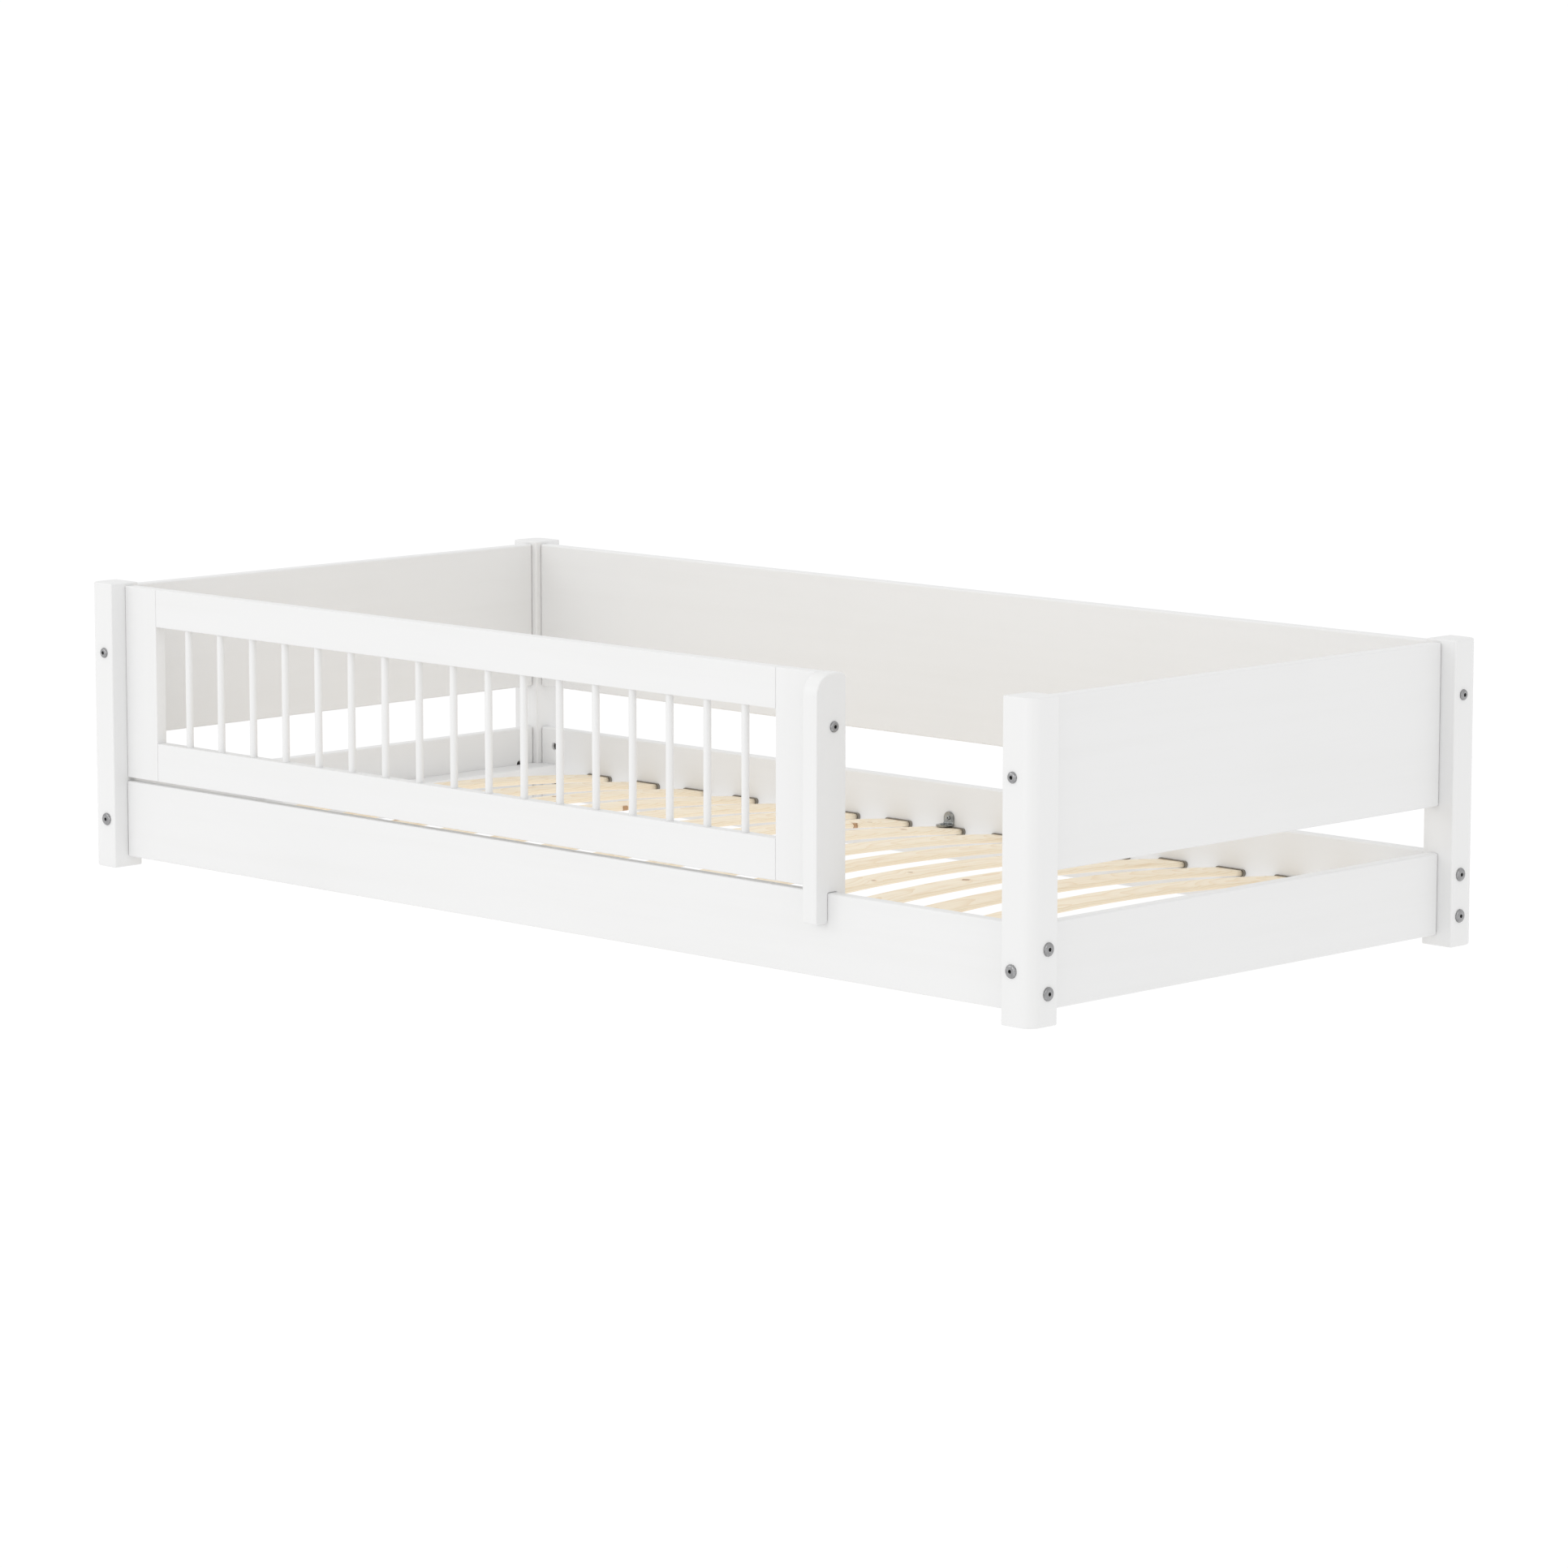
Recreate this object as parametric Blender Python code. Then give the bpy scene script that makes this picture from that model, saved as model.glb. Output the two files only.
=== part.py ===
"""Low children's bed: four posts, bolted rails and panels, a half-length guard and a bowed slat base.

Metres, +Z up. X runs along the bed, Y from the front to the back, and the origin is on the floor
under the middle of the bed.
"""
import bpy
import bmesh
from math import cos, pi, sin
from mathutils import Matrix, Vector

GAP = 0.0003                    # clearance between pieces that touch
OVERCUT = 0.001                 # a cutter starts this far outside the face it enters
END_PLAY = 0.0005               # a bore is this much deeper than what goes in
THROUGH_OVERRUN = 0.01          # a through bore runs past both faces

BED_LENGTH = 2.100
BED_WIDTH = 1.010
POST_HEIGHT = 0.472
POST_SIDE = 0.057
POST_CORNER_RADIUS = 0.020      # the outer upright corner
POST_ARC_STEPS = 6
POST_EDGE = 0.0025

BOARD_THICKNESS = 0.020
BOARD_SETBACK = 0.027           # board face behind the post's outer face
BOARD_EDGE = 0.003
RAIL_BOTTOM = 0.017
RAIL_TOP = 0.1435
PANEL_BOTTOM = 0.216
PANEL_TOP = 0.467

GUARD_SETBACK = 0.029
GUARD_BOTTOM = 0.1494
STILE_WIDTH = 0.078
WINDOW_START = -0.9147          # left edge of the guard's opening
WINDOW_END = 0.515
WINDOW_BOTTOM = 0.2125
WINDOW_TOP = 0.405
GUARD_EDGE = 0.0015
SPINDLE_COUNT = 17
SPINDLE_PITCH = 0.0803
SPINDLE_RADIUS = 0.006
SPINDLE_TENON = 0.010
SPINDLE_SIDES = 10
SPINDLE_HOLE_SIDES = 8

SUPPORT_THICKNESS = 0.0285
SUPPORT_DEPTH = 0.062
SUPPORT_FRONT = 0.0025          # front edge behind the posts' front face
SUPPORT_RIGHT = 0.625
SUPPORT_TONGUE = 0.098          # lowest point of the fork
SUPPORT_NECK = 0.1455           # top of the slot that straddles the rail
SUPPORT_TOP_FRONT_RADIUS = 0.032
SUPPORT_TOP_BACK_RADIUS = 0.012
SUPPORT_TIP_RADIUS = 0.005
SUPPORT_EDGE = 0.002

SLAT_HALF_COUNT = 7             # slats on each side of the middle one
SLAT_PITCH = 0.1204
SLAT_WIDTH = 0.055
SLAT_THICKNESS = 0.0085
SLAT_BOW = 0.0239
SLAT_END_HEIGHT = 0.0662        # slat centre at the rail
SLAT_STEPS = 6
CAP_PROUD = 0.004               # collar of a slat's end cap that stands out of the rail
CAP_SUNK = 0.012                # and the rest of it, in the rail's pocket
CAP_SIDE_WALL = 0.0028
CAP_TOP_WALL = 0.0018

CLEAT_WIDTH = 0.052
CLEAT_THICKNESS = 0.022
CLEAT_TOP = 0.0795

BRACKET_X = -0.0055
BRACKET_WIDTH = 0.021
BRACKET_TOP = 0.0975
BRACKET_FOOT = 0.028
BRACKET_THICKNESS = 0.003
BRACKET_BOTTOM = 0.0746
BRACKET_ARC_STEPS = 6
SCREW_HEAD_RADIUS = 0.0038
SCREW_HEAD_HEIGHT = 0.0018
SCREW_RADIUS = 0.0018
SCREW_WALL_LENGTH = 0.015       # from under the head, through the bracket into the rail
SCREW_SLAT_LENGTH = 0.0115

RAIL_BOLT_HEIGHTS = (0.0475, 0.1115)
END_RAIL_BOLT_HEIGHT = 0.080
END_PANEL_BOLT_HEIGHT = 0.357
BACK_BOLT_HEIGHT = 0.388
BOLT_RADIUS = 0.004
BOLT_HEAD_RADIUS = 0.0102
BOLT_HEAD_HEIGHT = 0.0035
BOLT_SOCKET_RADIUS = 0.0030
BOLT_SOCKET_DEPTH = 0.0025
BOLT_HEAD_EASE = 0.001
SMALL_BOLT_RADIUS = 0.003
SMALL_BOLT_HEAD_RADIUS = 0.0083
BOLT_HEAD_SIDES = 10
BOLT_SIDES = 8
BOLT_IN_BOARD = 0.044           # how far a long bolt reaches into a rail's end
BOLT_TIP_ROOM = 0.003
NUT_FROM_END = 0.0335
NUT_RADIUS = 0.006
NUT_LENGTH = 0.012
NUT_BORE_DEPTH = 0.0165
INSERT_RADIUS = 0.005
INSERT_LENGTH = 0.022

DOWEL_RADIUS = 0.004
DOWEL_REACH = 0.015             # how far a dowel stands out of its board
DOWEL_ROOT = 0.006
DOWEL_SIDES = 6
BACK_DOWEL_HEIGHTS = (0.262, 0.418)
END_PANEL_DOWEL_HEIGHTS = (0.240, 0.440)
END_RAIL_DOWEL_HEIGHTS = (0.030, 0.130)
GUARD_LOW_DOWELS = (0.165, 0.197)
GUARD_HIGH_DOWELS = (0.420, 0.452)
CLEAT_DOWEL_PLACES = (-0.30, 0.0, 0.30)

POST_X = (BED_LENGTH - POST_SIDE) / 2
POST_Y = (BED_WIDTH - POST_SIDE) / 2
POST_INNER_X = BED_LENGTH / 2 - POST_SIDE
POST_INNER_Y = BED_WIDTH / 2 - POST_SIDE
END_X = BED_LENGTH / 2 - BOARD_SETBACK - BOARD_THICKNESS / 2      # middle plane of the end boards
SIDE_Y = BED_WIDTH / 2 - BOARD_SETBACK - BOARD_THICKNESS / 2      # middle plane of the side boards
GUARD_Y = -(BED_WIDTH / 2 - GUARD_SETBACK - BOARD_THICKNESS / 2)
RAIL_INNER_Y = SIDE_Y - BOARD_THICKNESS / 2
END_INNER_X = END_X - BOARD_THICKNESS / 2
SUPPORT_LEFT = SUPPORT_RIGHT - SUPPORT_THICKNESS
CLEAT_MIDDLE = CLEAT_TOP - CLEAT_THICKNESS / 2
WALL_SCREW_HEIGHT = BRACKET_TOP - BRACKET_WIDTH / 2
FOOT_SCREW_Y = RAIL_INNER_Y - BRACKET_FOOT + BRACKET_WIDTH / 2


def clear_scene():
    for obj in list(bpy.data.objects):
        bpy.data.objects.remove(obj, do_unlink=True)


def make_material(name, color, roughness, metallic=0.0):
    material = bpy.data.materials.new(name)
    material.use_nodes = True
    shader = material.node_tree.nodes["Principled BSDF"]
    shader.inputs["Base Color"].default_value = (*color, 1.0)
    shader.inputs["Roughness"].default_value = roughness
    shader.inputs["Metallic"].default_value = metallic
    return material


def add_object(name, bm, material=None, location=(0, 0, 0)):
    bmesh.ops.recalc_face_normals(bm, faces=bm.faces)
    mesh = bpy.data.meshes.new(name)
    bm.to_mesh(mesh)
    bm.free()
    obj = bpy.data.objects.new(name, mesh)
    obj.location = location
    bpy.context.scene.collection.objects.link(obj)
    if material:
        mesh.materials.append(material)
    return obj


def turn_to(axis):
    """Rotation that lays a cylinder made along Z along the named axis."""
    if axis == "X":
        return Matrix.Rotation(pi / 2, 4, "Y")
    if axis == "Y":
        return Matrix.Rotation(-pi / 2, 4, "X")
    return Matrix.Identity(4)


def add_rod(bm, axis, start, length, radius, sides):
    """A closed rod in bm from the point start, running length along the axis, either way."""
    middle = Matrix.Translation((0, 0, length / 2))
    place = Matrix.Translation(start) @ turn_to(axis) @ middle
    bmesh.ops.create_cone(bm, cap_ends=True, segments=sides, radius1=radius, radius2=radius,
                          depth=abs(length), matrix=place)


def loft(bm, rings):
    """Skin a list of equal rings of points and cap both ends."""
    made = [[bm.verts.new(point) for point in ring] for ring in rings]
    for low, high in zip(made, made[1:]):
        for i in range(len(low)):
            j = (i + 1) % len(low)
            bm.faces.new((low[i], low[j], high[j], high[i]))
    bm.faces.new(made[0][::-1])
    bm.faces.new(made[-1])


def add_bevel(obj, width, segments=2):
    bevel = obj.modifiers.new("edges", "BEVEL")
    bevel.width = width
    bevel.segments = segments
    bevel.limit_method = "ANGLE"
    bevel.angle_limit = pi / 5


def combine(obj, name, bm, operation):
    """Cut or join the bodies in bm, which stay in a hidden helper object."""
    helper = add_object(name, bm)
    helper.hide_render = True
    helper.display_type = "WIRE"
    boolean = obj.modifiers.new(name, "BOOLEAN")
    boolean.operation = operation
    boolean.solver = "EXACT"
    boolean.object = helper


def cut(obj, name, bores):
    """Drill bores given as (axis, start, length, radius of what goes in, sides)."""
    bm = bmesh.new()
    for axis, start, length, radius, sides in bores:
        add_rod(bm, axis, start, length, (radius + GAP) / cos(pi / sides), sides)
    combine(obj, name, bm, "DIFFERENCE")


def join_rods(obj, name, rods):
    """Join rods given as (axis, start, length, radius, sides), glued or threaded in place."""
    bm = bmesh.new()
    for rod in rods:
        add_rod(bm, *rod)
    combine(obj, name, bm, "UNION")


def add_board(name, low, high, material, edge=BOARD_EDGE):
    """A rectangular board between two corners, with eased edges."""
    size = [b - a for a, b in zip(low, high)]
    middle = [(a + b) / 2 for a, b in zip(low, high)]
    bm = bmesh.new()
    bmesh.ops.create_cube(bm, size=1.0, matrix=Matrix.Diagonal((*size, 1.0)))
    board = add_object(name, bm, material, middle)
    add_bevel(board, edge)
    return board


def arc_points(center, radius, start, end, steps):
    return [(center[0] + radius * cos(start + (end - start) * i / steps),
             center[1] + radius * sin(start + (end - start) * i / steps)) for i in range(steps + 1)]


def dowel_bore(axis, face_point, direction):
    """Hole for a dowel, sunk from a joint face in the given direction."""
    start = list(face_point)
    start["XYZ".index(axis)] -= direction * OVERCUT
    return (axis, start, direction * (DOWEL_REACH + OVERCUT + END_PLAY), DOWEL_RADIUS, DOWEL_SIDES)


def dowel(axis, face_point, direction):
    """A dowel glued in a board, standing out of its end face in the given direction."""
    start = list(face_point)
    start["XYZ".index(axis)] -= direction * DOWEL_ROOT
    return (axis, start, direction * (DOWEL_REACH + DOWEL_ROOT), DOWEL_RADIUS, DOWEL_SIDES)


def post_outline(side_x, side_y):
    """Square section about its own centre, with the outer corner rounded."""
    half = POST_SIDE / 2
    inner = POST_CORNER_RADIUS - half
    points = [(-half, -half), (half, -half)]
    points += [(x, y) for x, y in arc_points((-inner, -inner), POST_CORNER_RADIUS, 0, pi / 2, POST_ARC_STEPS)]
    points += [(-half, half)]
    return [(x * side_x, y * side_y) for x, y in points]


def add_post(name, side_x, side_y, upper_board_y, material):
    """A post with its bolt and dowel holes; upper_board_y is None where no board meets it along X."""
    bm = bmesh.new()
    outline = post_outline(side_x, side_y)
    loft(bm, [[(x, y, z) for x, y in outline] for z in (0.0, POST_HEIGHT)])
    post = add_object(name, bm, material, (side_x * POST_X, side_y * POST_Y, 0.0))
    add_bevel(post, POST_EDGE)

    through = POST_SIDE + 2 * THROUGH_OVERRUN
    outside_x = side_x * (BED_LENGTH / 2 + THROUGH_OVERRUN)
    outside_y = side_y * (BED_WIDTH / 2 + THROUGH_OVERRUN)
    end_x = side_x * END_X
    bores = [("X", (outside_x, side_y * SIDE_Y, z), -side_x * through, BOLT_RADIUS, BOLT_SIDES)
             for z in RAIL_BOLT_HEIGHTS]
    bores += [("Y", (end_x, outside_y, END_RAIL_BOLT_HEIGHT), -side_y * through, BOLT_RADIUS, BOLT_SIDES),
              ("Y", (end_x, outside_y, END_PANEL_BOLT_HEIGHT), -side_y * through,
               SMALL_BOLT_RADIUS, BOLT_SIDES)]
    bores += [dowel_bore("Y", (end_x, side_y * POST_INNER_Y, z), side_y)
              for z in END_PANEL_DOWEL_HEIGHTS + END_RAIL_DOWEL_HEIGHTS]
    if upper_board_y is not None:
        bores.append(("X", (outside_x, upper_board_y, BACK_BOLT_HEIGHT), -side_x * through,
                      SMALL_BOLT_RADIUS, BOLT_SIDES))
        bores += [dowel_bore("X", (side_x * POST_INNER_X, upper_board_y, z), side_x)
                  for z in BACK_DOWEL_HEIGHTS]
    cut(post, name + "_bores", bores)


def flat_oval(half_width, half_height):
    """Eight-sided outline of a flat bar with rounded edges, as (x, z)."""
    shoulder = half_width - half_height * 0.75
    nose = half_height * 0.4
    return [(half_width, -nose), (half_width, nose), (shoulder, half_height), (-shoulder, half_height),
            (-half_width, nose), (-half_width, -nose), (-shoulder, -half_height), (shoulder, -half_height)]


def slat_height(y):
    """Height of the bowed slat's centre line above the floor."""
    return SLAT_END_HEIGHT + SLAT_BOW * (1 - (y / RAIL_INNER_Y) ** 2)


def slat_ring(y, grow_side=0.0, grow_top=0.0, x=0.0):
    outline = flat_oval(SLAT_WIDTH / 2 + grow_side, SLAT_THICKNESS / 2 + grow_top)
    return [(a + x, y, b + slat_height(y)) for a, b in outline]


def cut_pockets(rail, name, side):
    """Pockets in a side rail's inner face for the slats' end caps."""
    bm = bmesh.new()
    for n in range(-SLAT_HALF_COUNT, SLAT_HALF_COUNT + 1):
        loft(bm, [slat_ring(side * y, CAP_SIDE_WALL + GAP, CAP_TOP_WALL + GAP, n * SLAT_PITCH)
                  for y in (RAIL_INNER_Y - OVERCUT, RAIL_INNER_Y + CAP_SUNK + GAP)])
    combine(rail, name + "_pockets", bm, "DIFFERENCE")


def add_slat(number, x, material):
    """One sprung slat, bowed upwards, with the cap pushed on each end."""
    sunk = RAIL_INNER_Y + CAP_SUNK
    mouth = RAIL_INNER_Y - CAP_PROUD
    cap = [slat_ring(y, CAP_SIDE_WALL, CAP_TOP_WALL) for y in (sunk, mouth)]
    other_cap = [slat_ring(-y, CAP_SIDE_WALL, CAP_TOP_WALL) for y in (mouth, sunk)]
    bare = [slat_ring(mouth * (1 - 2 * i / SLAT_STEPS)) for i in range(SLAT_STEPS + 1)]
    bm = bmesh.new()
    loft(bm, cap + bare + other_cap)
    return add_object(f"slat_{number:02d}", bm, material, (x, 0.0, 0.0))


def end_bores(axis, ends, other, heights, reach, radius):
    """Bolt holes into both ends of a board, at each height."""
    bores = []
    for side in (-1, 1):
        for height in heights:
            start = [other, other, height]
            start["XYZ".index(axis)] = side * (ends + OVERCUT)
            bores.append((axis, start, -side * (reach + OVERCUT + BOLT_TIP_ROOM), radius, BOLT_SIDES))
    return bores


def add_side_rail(name, side, material):
    """Long bottom rail: end bores, cross bores for barrel nuts, and pockets for the slats' caps."""
    middle = side * SIDE_Y
    half = BOARD_THICKNESS / 2
    rail = add_board(name, (-POST_INNER_X + GAP, middle - half, RAIL_BOTTOM),
                     (POST_INNER_X - GAP, middle + half, RAIL_TOP), material)
    inner = side * (RAIL_INNER_Y - OVERCUT)
    bores = end_bores("X", POST_INNER_X, middle, RAIL_BOLT_HEIGHTS, BOLT_IN_BOARD, BOLT_RADIUS)
    bores.append(("Y", (BRACKET_X, inner, WALL_SCREW_HEIGHT), side * SCREW_WALL_LENGTH,
                  SCREW_RADIUS, BOLT_SIDES))
    cut(rail, name + "_bores", bores)
    nuts = [("Y", (end * (POST_INNER_X - NUT_FROM_END), inner, z), side * (NUT_BORE_DEPTH + OVERCUT),
             NUT_RADIUS, BOLT_SIDES) for end in (-1, 1) for z in RAIL_BOLT_HEIGHTS]
    cut(rail, name + "_nut_bores", nuts)
    cut_pockets(rail, name, side)


def add_end_rail(name, side, material):
    """Short bottom rail with its bolt, nut and cleat holes, and dowels in both ends."""
    middle = side * END_X
    half = BOARD_THICKNESS / 2
    rail = add_board(name, (middle - half, -POST_INNER_Y + GAP, RAIL_BOTTOM),
                     (middle + half, POST_INNER_Y - GAP, RAIL_TOP), material)
    join_rods(rail, name + "_dowels", [dowel("Y", (middle, end * POST_INNER_Y, z), end)
                                       for end in (-1, 1) for z in END_RAIL_DOWEL_HEIGHTS])
    bores = end_bores("Y", POST_INNER_Y, middle, (END_RAIL_BOLT_HEIGHT,), BOLT_IN_BOARD, BOLT_RADIUS)
    bores += [dowel_bore("X", (side * END_INNER_X, y, CLEAT_MIDDLE), side) for y in CLEAT_DOWEL_PLACES]
    cut(rail, name + "_bores", bores)
    inner = side * (END_INNER_X - OVERCUT)
    nuts = [("X", (inner, end * (POST_INNER_Y - NUT_FROM_END), END_RAIL_BOLT_HEIGHT),
             side * (NUT_BORE_DEPTH + OVERCUT), NUT_RADIUS, BOLT_SIDES) for end in (-1, 1)]
    cut(rail, name + "_nut_bores", nuts)


def insert_bore(axis, end_point, outwards):
    """Bore for a bolt's threaded sleeve, sunk into the end of a board that faces outwards."""
    start = list(end_point)
    start["XYZ".index(axis)] += outwards * OVERCUT
    return (axis, start, -outwards * (INSERT_LENGTH + OVERCUT + END_PLAY), INSERT_RADIUS, BOLT_SIDES)


def add_back_panel(material):
    half = BOARD_THICKNESS / 2
    panel = add_board("back_panel", (-POST_INNER_X + GAP, SIDE_Y - half, PANEL_BOTTOM),
                      (POST_INNER_X - GAP, SIDE_Y + half, PANEL_TOP), material)
    join_rods(panel, "back_panel_dowels", [dowel("X", (end * POST_INNER_X, SIDE_Y, z), end)
                                           for end in (-1, 1) for z in BACK_DOWEL_HEIGHTS])
    cut(panel, "back_panel_bores", [insert_bore("X", (end * POST_INNER_X, SIDE_Y, BACK_BOLT_HEIGHT), end)
                                    for end in (-1, 1)])


def add_end_panel(name, side, material):
    middle = side * END_X
    half = BOARD_THICKNESS / 2
    panel = add_board(name, (middle - half, -POST_INNER_Y + GAP, PANEL_BOTTOM),
                      (middle + half, POST_INNER_Y - GAP, PANEL_TOP), material)
    join_rods(panel, name + "_dowels", [dowel("Y", (middle, end * POST_INNER_Y, z), end)
                                        for end in (-1, 1) for z in END_PANEL_DOWEL_HEIGHTS])
    cut(panel, name + "_bores", [insert_bore("Y", (middle, end * POST_INNER_Y, END_PANEL_BOLT_HEIGHT), end)
                                 for end in (-1, 1)])


def add_guard_stiles(material):
    """The two uprights of the guard's frame, with dowels towards the post and the support."""
    half = BOARD_THICKNESS / 2
    front, back = GUARD_Y - half, GUARD_Y + half
    frame_dowels = GUARD_LOW_DOWELS + GUARD_HIGH_DOWELS
    stiles = (("guard_stile_left", -POST_INNER_X, WINDOW_START, -1),
              ("guard_stile_right", SUPPORT_LEFT, WINDOW_END, 1))
    for name, outside, inside, side in stiles:
        low, high = sorted((outside - side * GAP, inside))
        stile = add_board(name, (low, front, GUARD_BOTTOM), (high, back, PANEL_TOP), material, GUARD_EDGE)
        join_rods(stile, name + "_dowels", [dowel("X", (outside, GUARD_Y, z), side)
                                            for z in BACK_DOWEL_HEIGHTS])
        bores = [insert_bore("X", (outside, GUARD_Y, BACK_BOLT_HEIGHT), side)]
        bores += [dowel_bore("X", (inside, GUARD_Y, z), side) for z in frame_dowels]
        cut(stile, name + "_bores", bores)


def add_guard_rail(name, low, high, dowels, material):
    """One rail between the guard's stiles, dowelled into both."""
    half = BOARD_THICKNESS / 2
    rail = add_board(name, (WINDOW_START + GAP, GUARD_Y - half, low),
                     (WINDOW_END - GAP, GUARD_Y + half, high), material, GUARD_EDGE)
    ends = ((WINDOW_START, -1), (WINDOW_END, 1))
    join_rods(rail, name + "_dowels", [dowel("X", (x, GUARD_Y, z), side) for x, side in ends for z in dowels])
    return rail


def add_guard_rails(material):
    """The spindles are glued in the bottom rail and stand in holes in the top rail."""
    middle = (WINDOW_START + WINDOW_END) / 2
    spindle_places = [middle + (n - (SPINDLE_COUNT - 1) / 2) * SPINDLE_PITCH for n in range(SPINDLE_COUNT)]
    bottom = add_guard_rail("guard_bottom_rail_with_spindles", GUARD_BOTTOM, WINDOW_BOTTOM,
                            GUARD_LOW_DOWELS, material)
    length = WINDOW_TOP - WINDOW_BOTTOM + 2 * SPINDLE_TENON
    join_rods(bottom, "spindles", [("Z", (x, GUARD_Y, WINDOW_BOTTOM - SPINDLE_TENON), length, SPINDLE_RADIUS,
                                    SPINDLE_SIDES) for x in spindle_places])
    top = add_guard_rail("guard_top_rail", WINDOW_TOP, PANEL_TOP, GUARD_HIGH_DOWELS, material)
    depth = SPINDLE_TENON + OVERCUT + END_PLAY
    cut(top, "guard_top_rail_bores", [("Z", (x, GUARD_Y, WINDOW_TOP - OVERCUT), depth, SPINDLE_RADIUS,
                                       SPINDLE_HOLE_SIDES) for x in spindle_places])


def support_outline():
    """Side view of the guard's upright as (y, z): rounded head, fork over the front rail."""
    front = -BED_WIDTH / 2 + SUPPORT_FRONT
    back = front + SUPPORT_DEPTH
    slot_front = -SIDE_Y - BOARD_THICKNESS / 2 - GAP
    slot_back = -SIDE_Y + BOARD_THICKNESS / 2 + GAP
    head, nape, tip = SUPPORT_TOP_FRONT_RADIUS, SUPPORT_TOP_BACK_RADIUS, SUPPORT_TIP_RADIUS
    points = arc_points((back - nape, PANEL_TOP - nape), nape, 0, pi / 2, 3)
    points += arc_points((front + head, PANEL_TOP - head), head, pi / 2, pi, 6)
    points += arc_points((front + tip, SUPPORT_TONGUE + tip), tip, pi, 3 * pi / 2, 2)
    points += arc_points((slot_front - tip, SUPPORT_TONGUE + tip), tip, 3 * pi / 2, 2 * pi, 2)
    points += [(slot_front, SUPPORT_NECK), (slot_back, SUPPORT_NECK), (slot_back, SUPPORT_TONGUE),
               (back, SUPPORT_TONGUE)]
    return points


def add_support(material):
    """Upright at the open end of the guard, which straddles the front rail."""
    bm = bmesh.new()
    outline = support_outline()
    half = SUPPORT_THICKNESS / 2
    loft(bm, [[(x, y, z) for y, z in outline] for x in (-half, half)])
    support = add_object("guard_support", bm, material, (SUPPORT_RIGHT - half, 0.0, 0.0))
    add_bevel(support, SUPPORT_EDGE, segments=1)
    bores = [("X", (SUPPORT_RIGHT + THROUGH_OVERRUN, GUARD_Y, BACK_BOLT_HEIGHT),
              -(SUPPORT_THICKNESS + 2 * THROUGH_OVERRUN), SMALL_BOLT_RADIUS, BOLT_SIDES)]
    bores += [dowel_bore("X", (SUPPORT_LEFT, GUARD_Y, z), 1) for z in BACK_DOWEL_HEIGHTS]
    cut(support, "guard_support_bores", bores)


def add_cleat(name, side, material):
    """Fixed cross piece at each end of the slat base, notched round the posts."""
    outer = END_INNER_X - GAP
    inner = END_INNER_X - CLEAT_WIDTH
    long_half = RAIL_INNER_Y - GAP
    short_half = POST_INNER_Y - GAP
    notch = POST_INNER_X - GAP
    outline = [(inner, -long_half), (notch, -long_half), (notch, -short_half), (outer, -short_half),
               (outer, short_half), (notch, short_half), (notch, long_half), (inner, long_half)]
    bm = bmesh.new()
    loft(bm, [[(side * x, y, z) for x, y in outline] for z in (CLEAT_TOP - CLEAT_THICKNESS, CLEAT_TOP)])
    cleat = add_object(name, bm, material)
    add_bevel(cleat, GUARD_EDGE, segments=1)
    join_rods(cleat, name + "_dowels", [dowel("X", (side * END_INNER_X, y, CLEAT_MIDDLE), side)
                                        for y in CLEAT_DOWEL_PLACES])


def tongue_outline(length):
    """Strap end as (across, along): straight sides and a half-round tip."""
    radius = BRACKET_WIDTH / 2
    points = [(-radius, 0.0), (radius, 0.0)]
    return points + arc_points((0.0, length - radius), radius, 0, pi, BRACKET_ARC_STEPS)


def add_bracket(name, side, material):
    """Angle bracket that ties the middle slat to the rail: a wall leg and a foot joined at the corner."""
    wall = side * (RAIL_INNER_Y - GAP)
    leg = [(BRACKET_X + a, b + BRACKET_BOTTOM) for a, b in tongue_outline(BRACKET_TOP - BRACKET_BOTTOM)]
    foot = [(BRACKET_X + a, wall - side * b) for a, b in tongue_outline(BRACKET_FOOT)]
    leg_body = bmesh.new()
    loft(leg_body, [[(x, y, z) for x, z in leg] for y in (wall, wall - side * BRACKET_THICKNESS)])
    bracket = add_object(name, leg_body, material)
    foot_body = bmesh.new()
    foot_top = BRACKET_BOTTOM + BRACKET_THICKNESS
    loft(foot_body, [[(x, y, z) for x, y in foot] for z in (BRACKET_BOTTOM, foot_top)])
    combine(bracket, name + "_foot", foot_body, "UNION")
    outside = side * (RAIL_INNER_Y + OVERCUT)
    holes = [("Y", (BRACKET_X, outside, WALL_SCREW_HEIGHT), -side * 3 * BRACKET_THICKNESS,
              SCREW_RADIUS, BOLT_SIDES),
             ("Z", (BRACKET_X, side * FOOT_SCREW_Y, BRACKET_BOTTOM - OVERCUT), 2 * BRACKET_THICKNESS,
              SCREW_RADIUS, BOLT_SIDES)]
    cut(bracket, name + "_holes", holes)


def end_ring(place, radius, height, sides=BOLT_HEAD_SIDES):
    """A ring of points round the local Z axis of the placement matrix."""
    angles = [2 * pi * i / sides for i in range(sides)]
    return [place @ Vector((radius * cos(a), radius * sin(a), height)) for a in angles]


def seat_matrix(axis, seat, direction):
    """Local +Z runs from the seat into the work."""
    return Matrix.Translation(seat) @ turn_to(axis) @ Matrix.Scale(direction, 4, (0, 0, 1))


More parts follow.
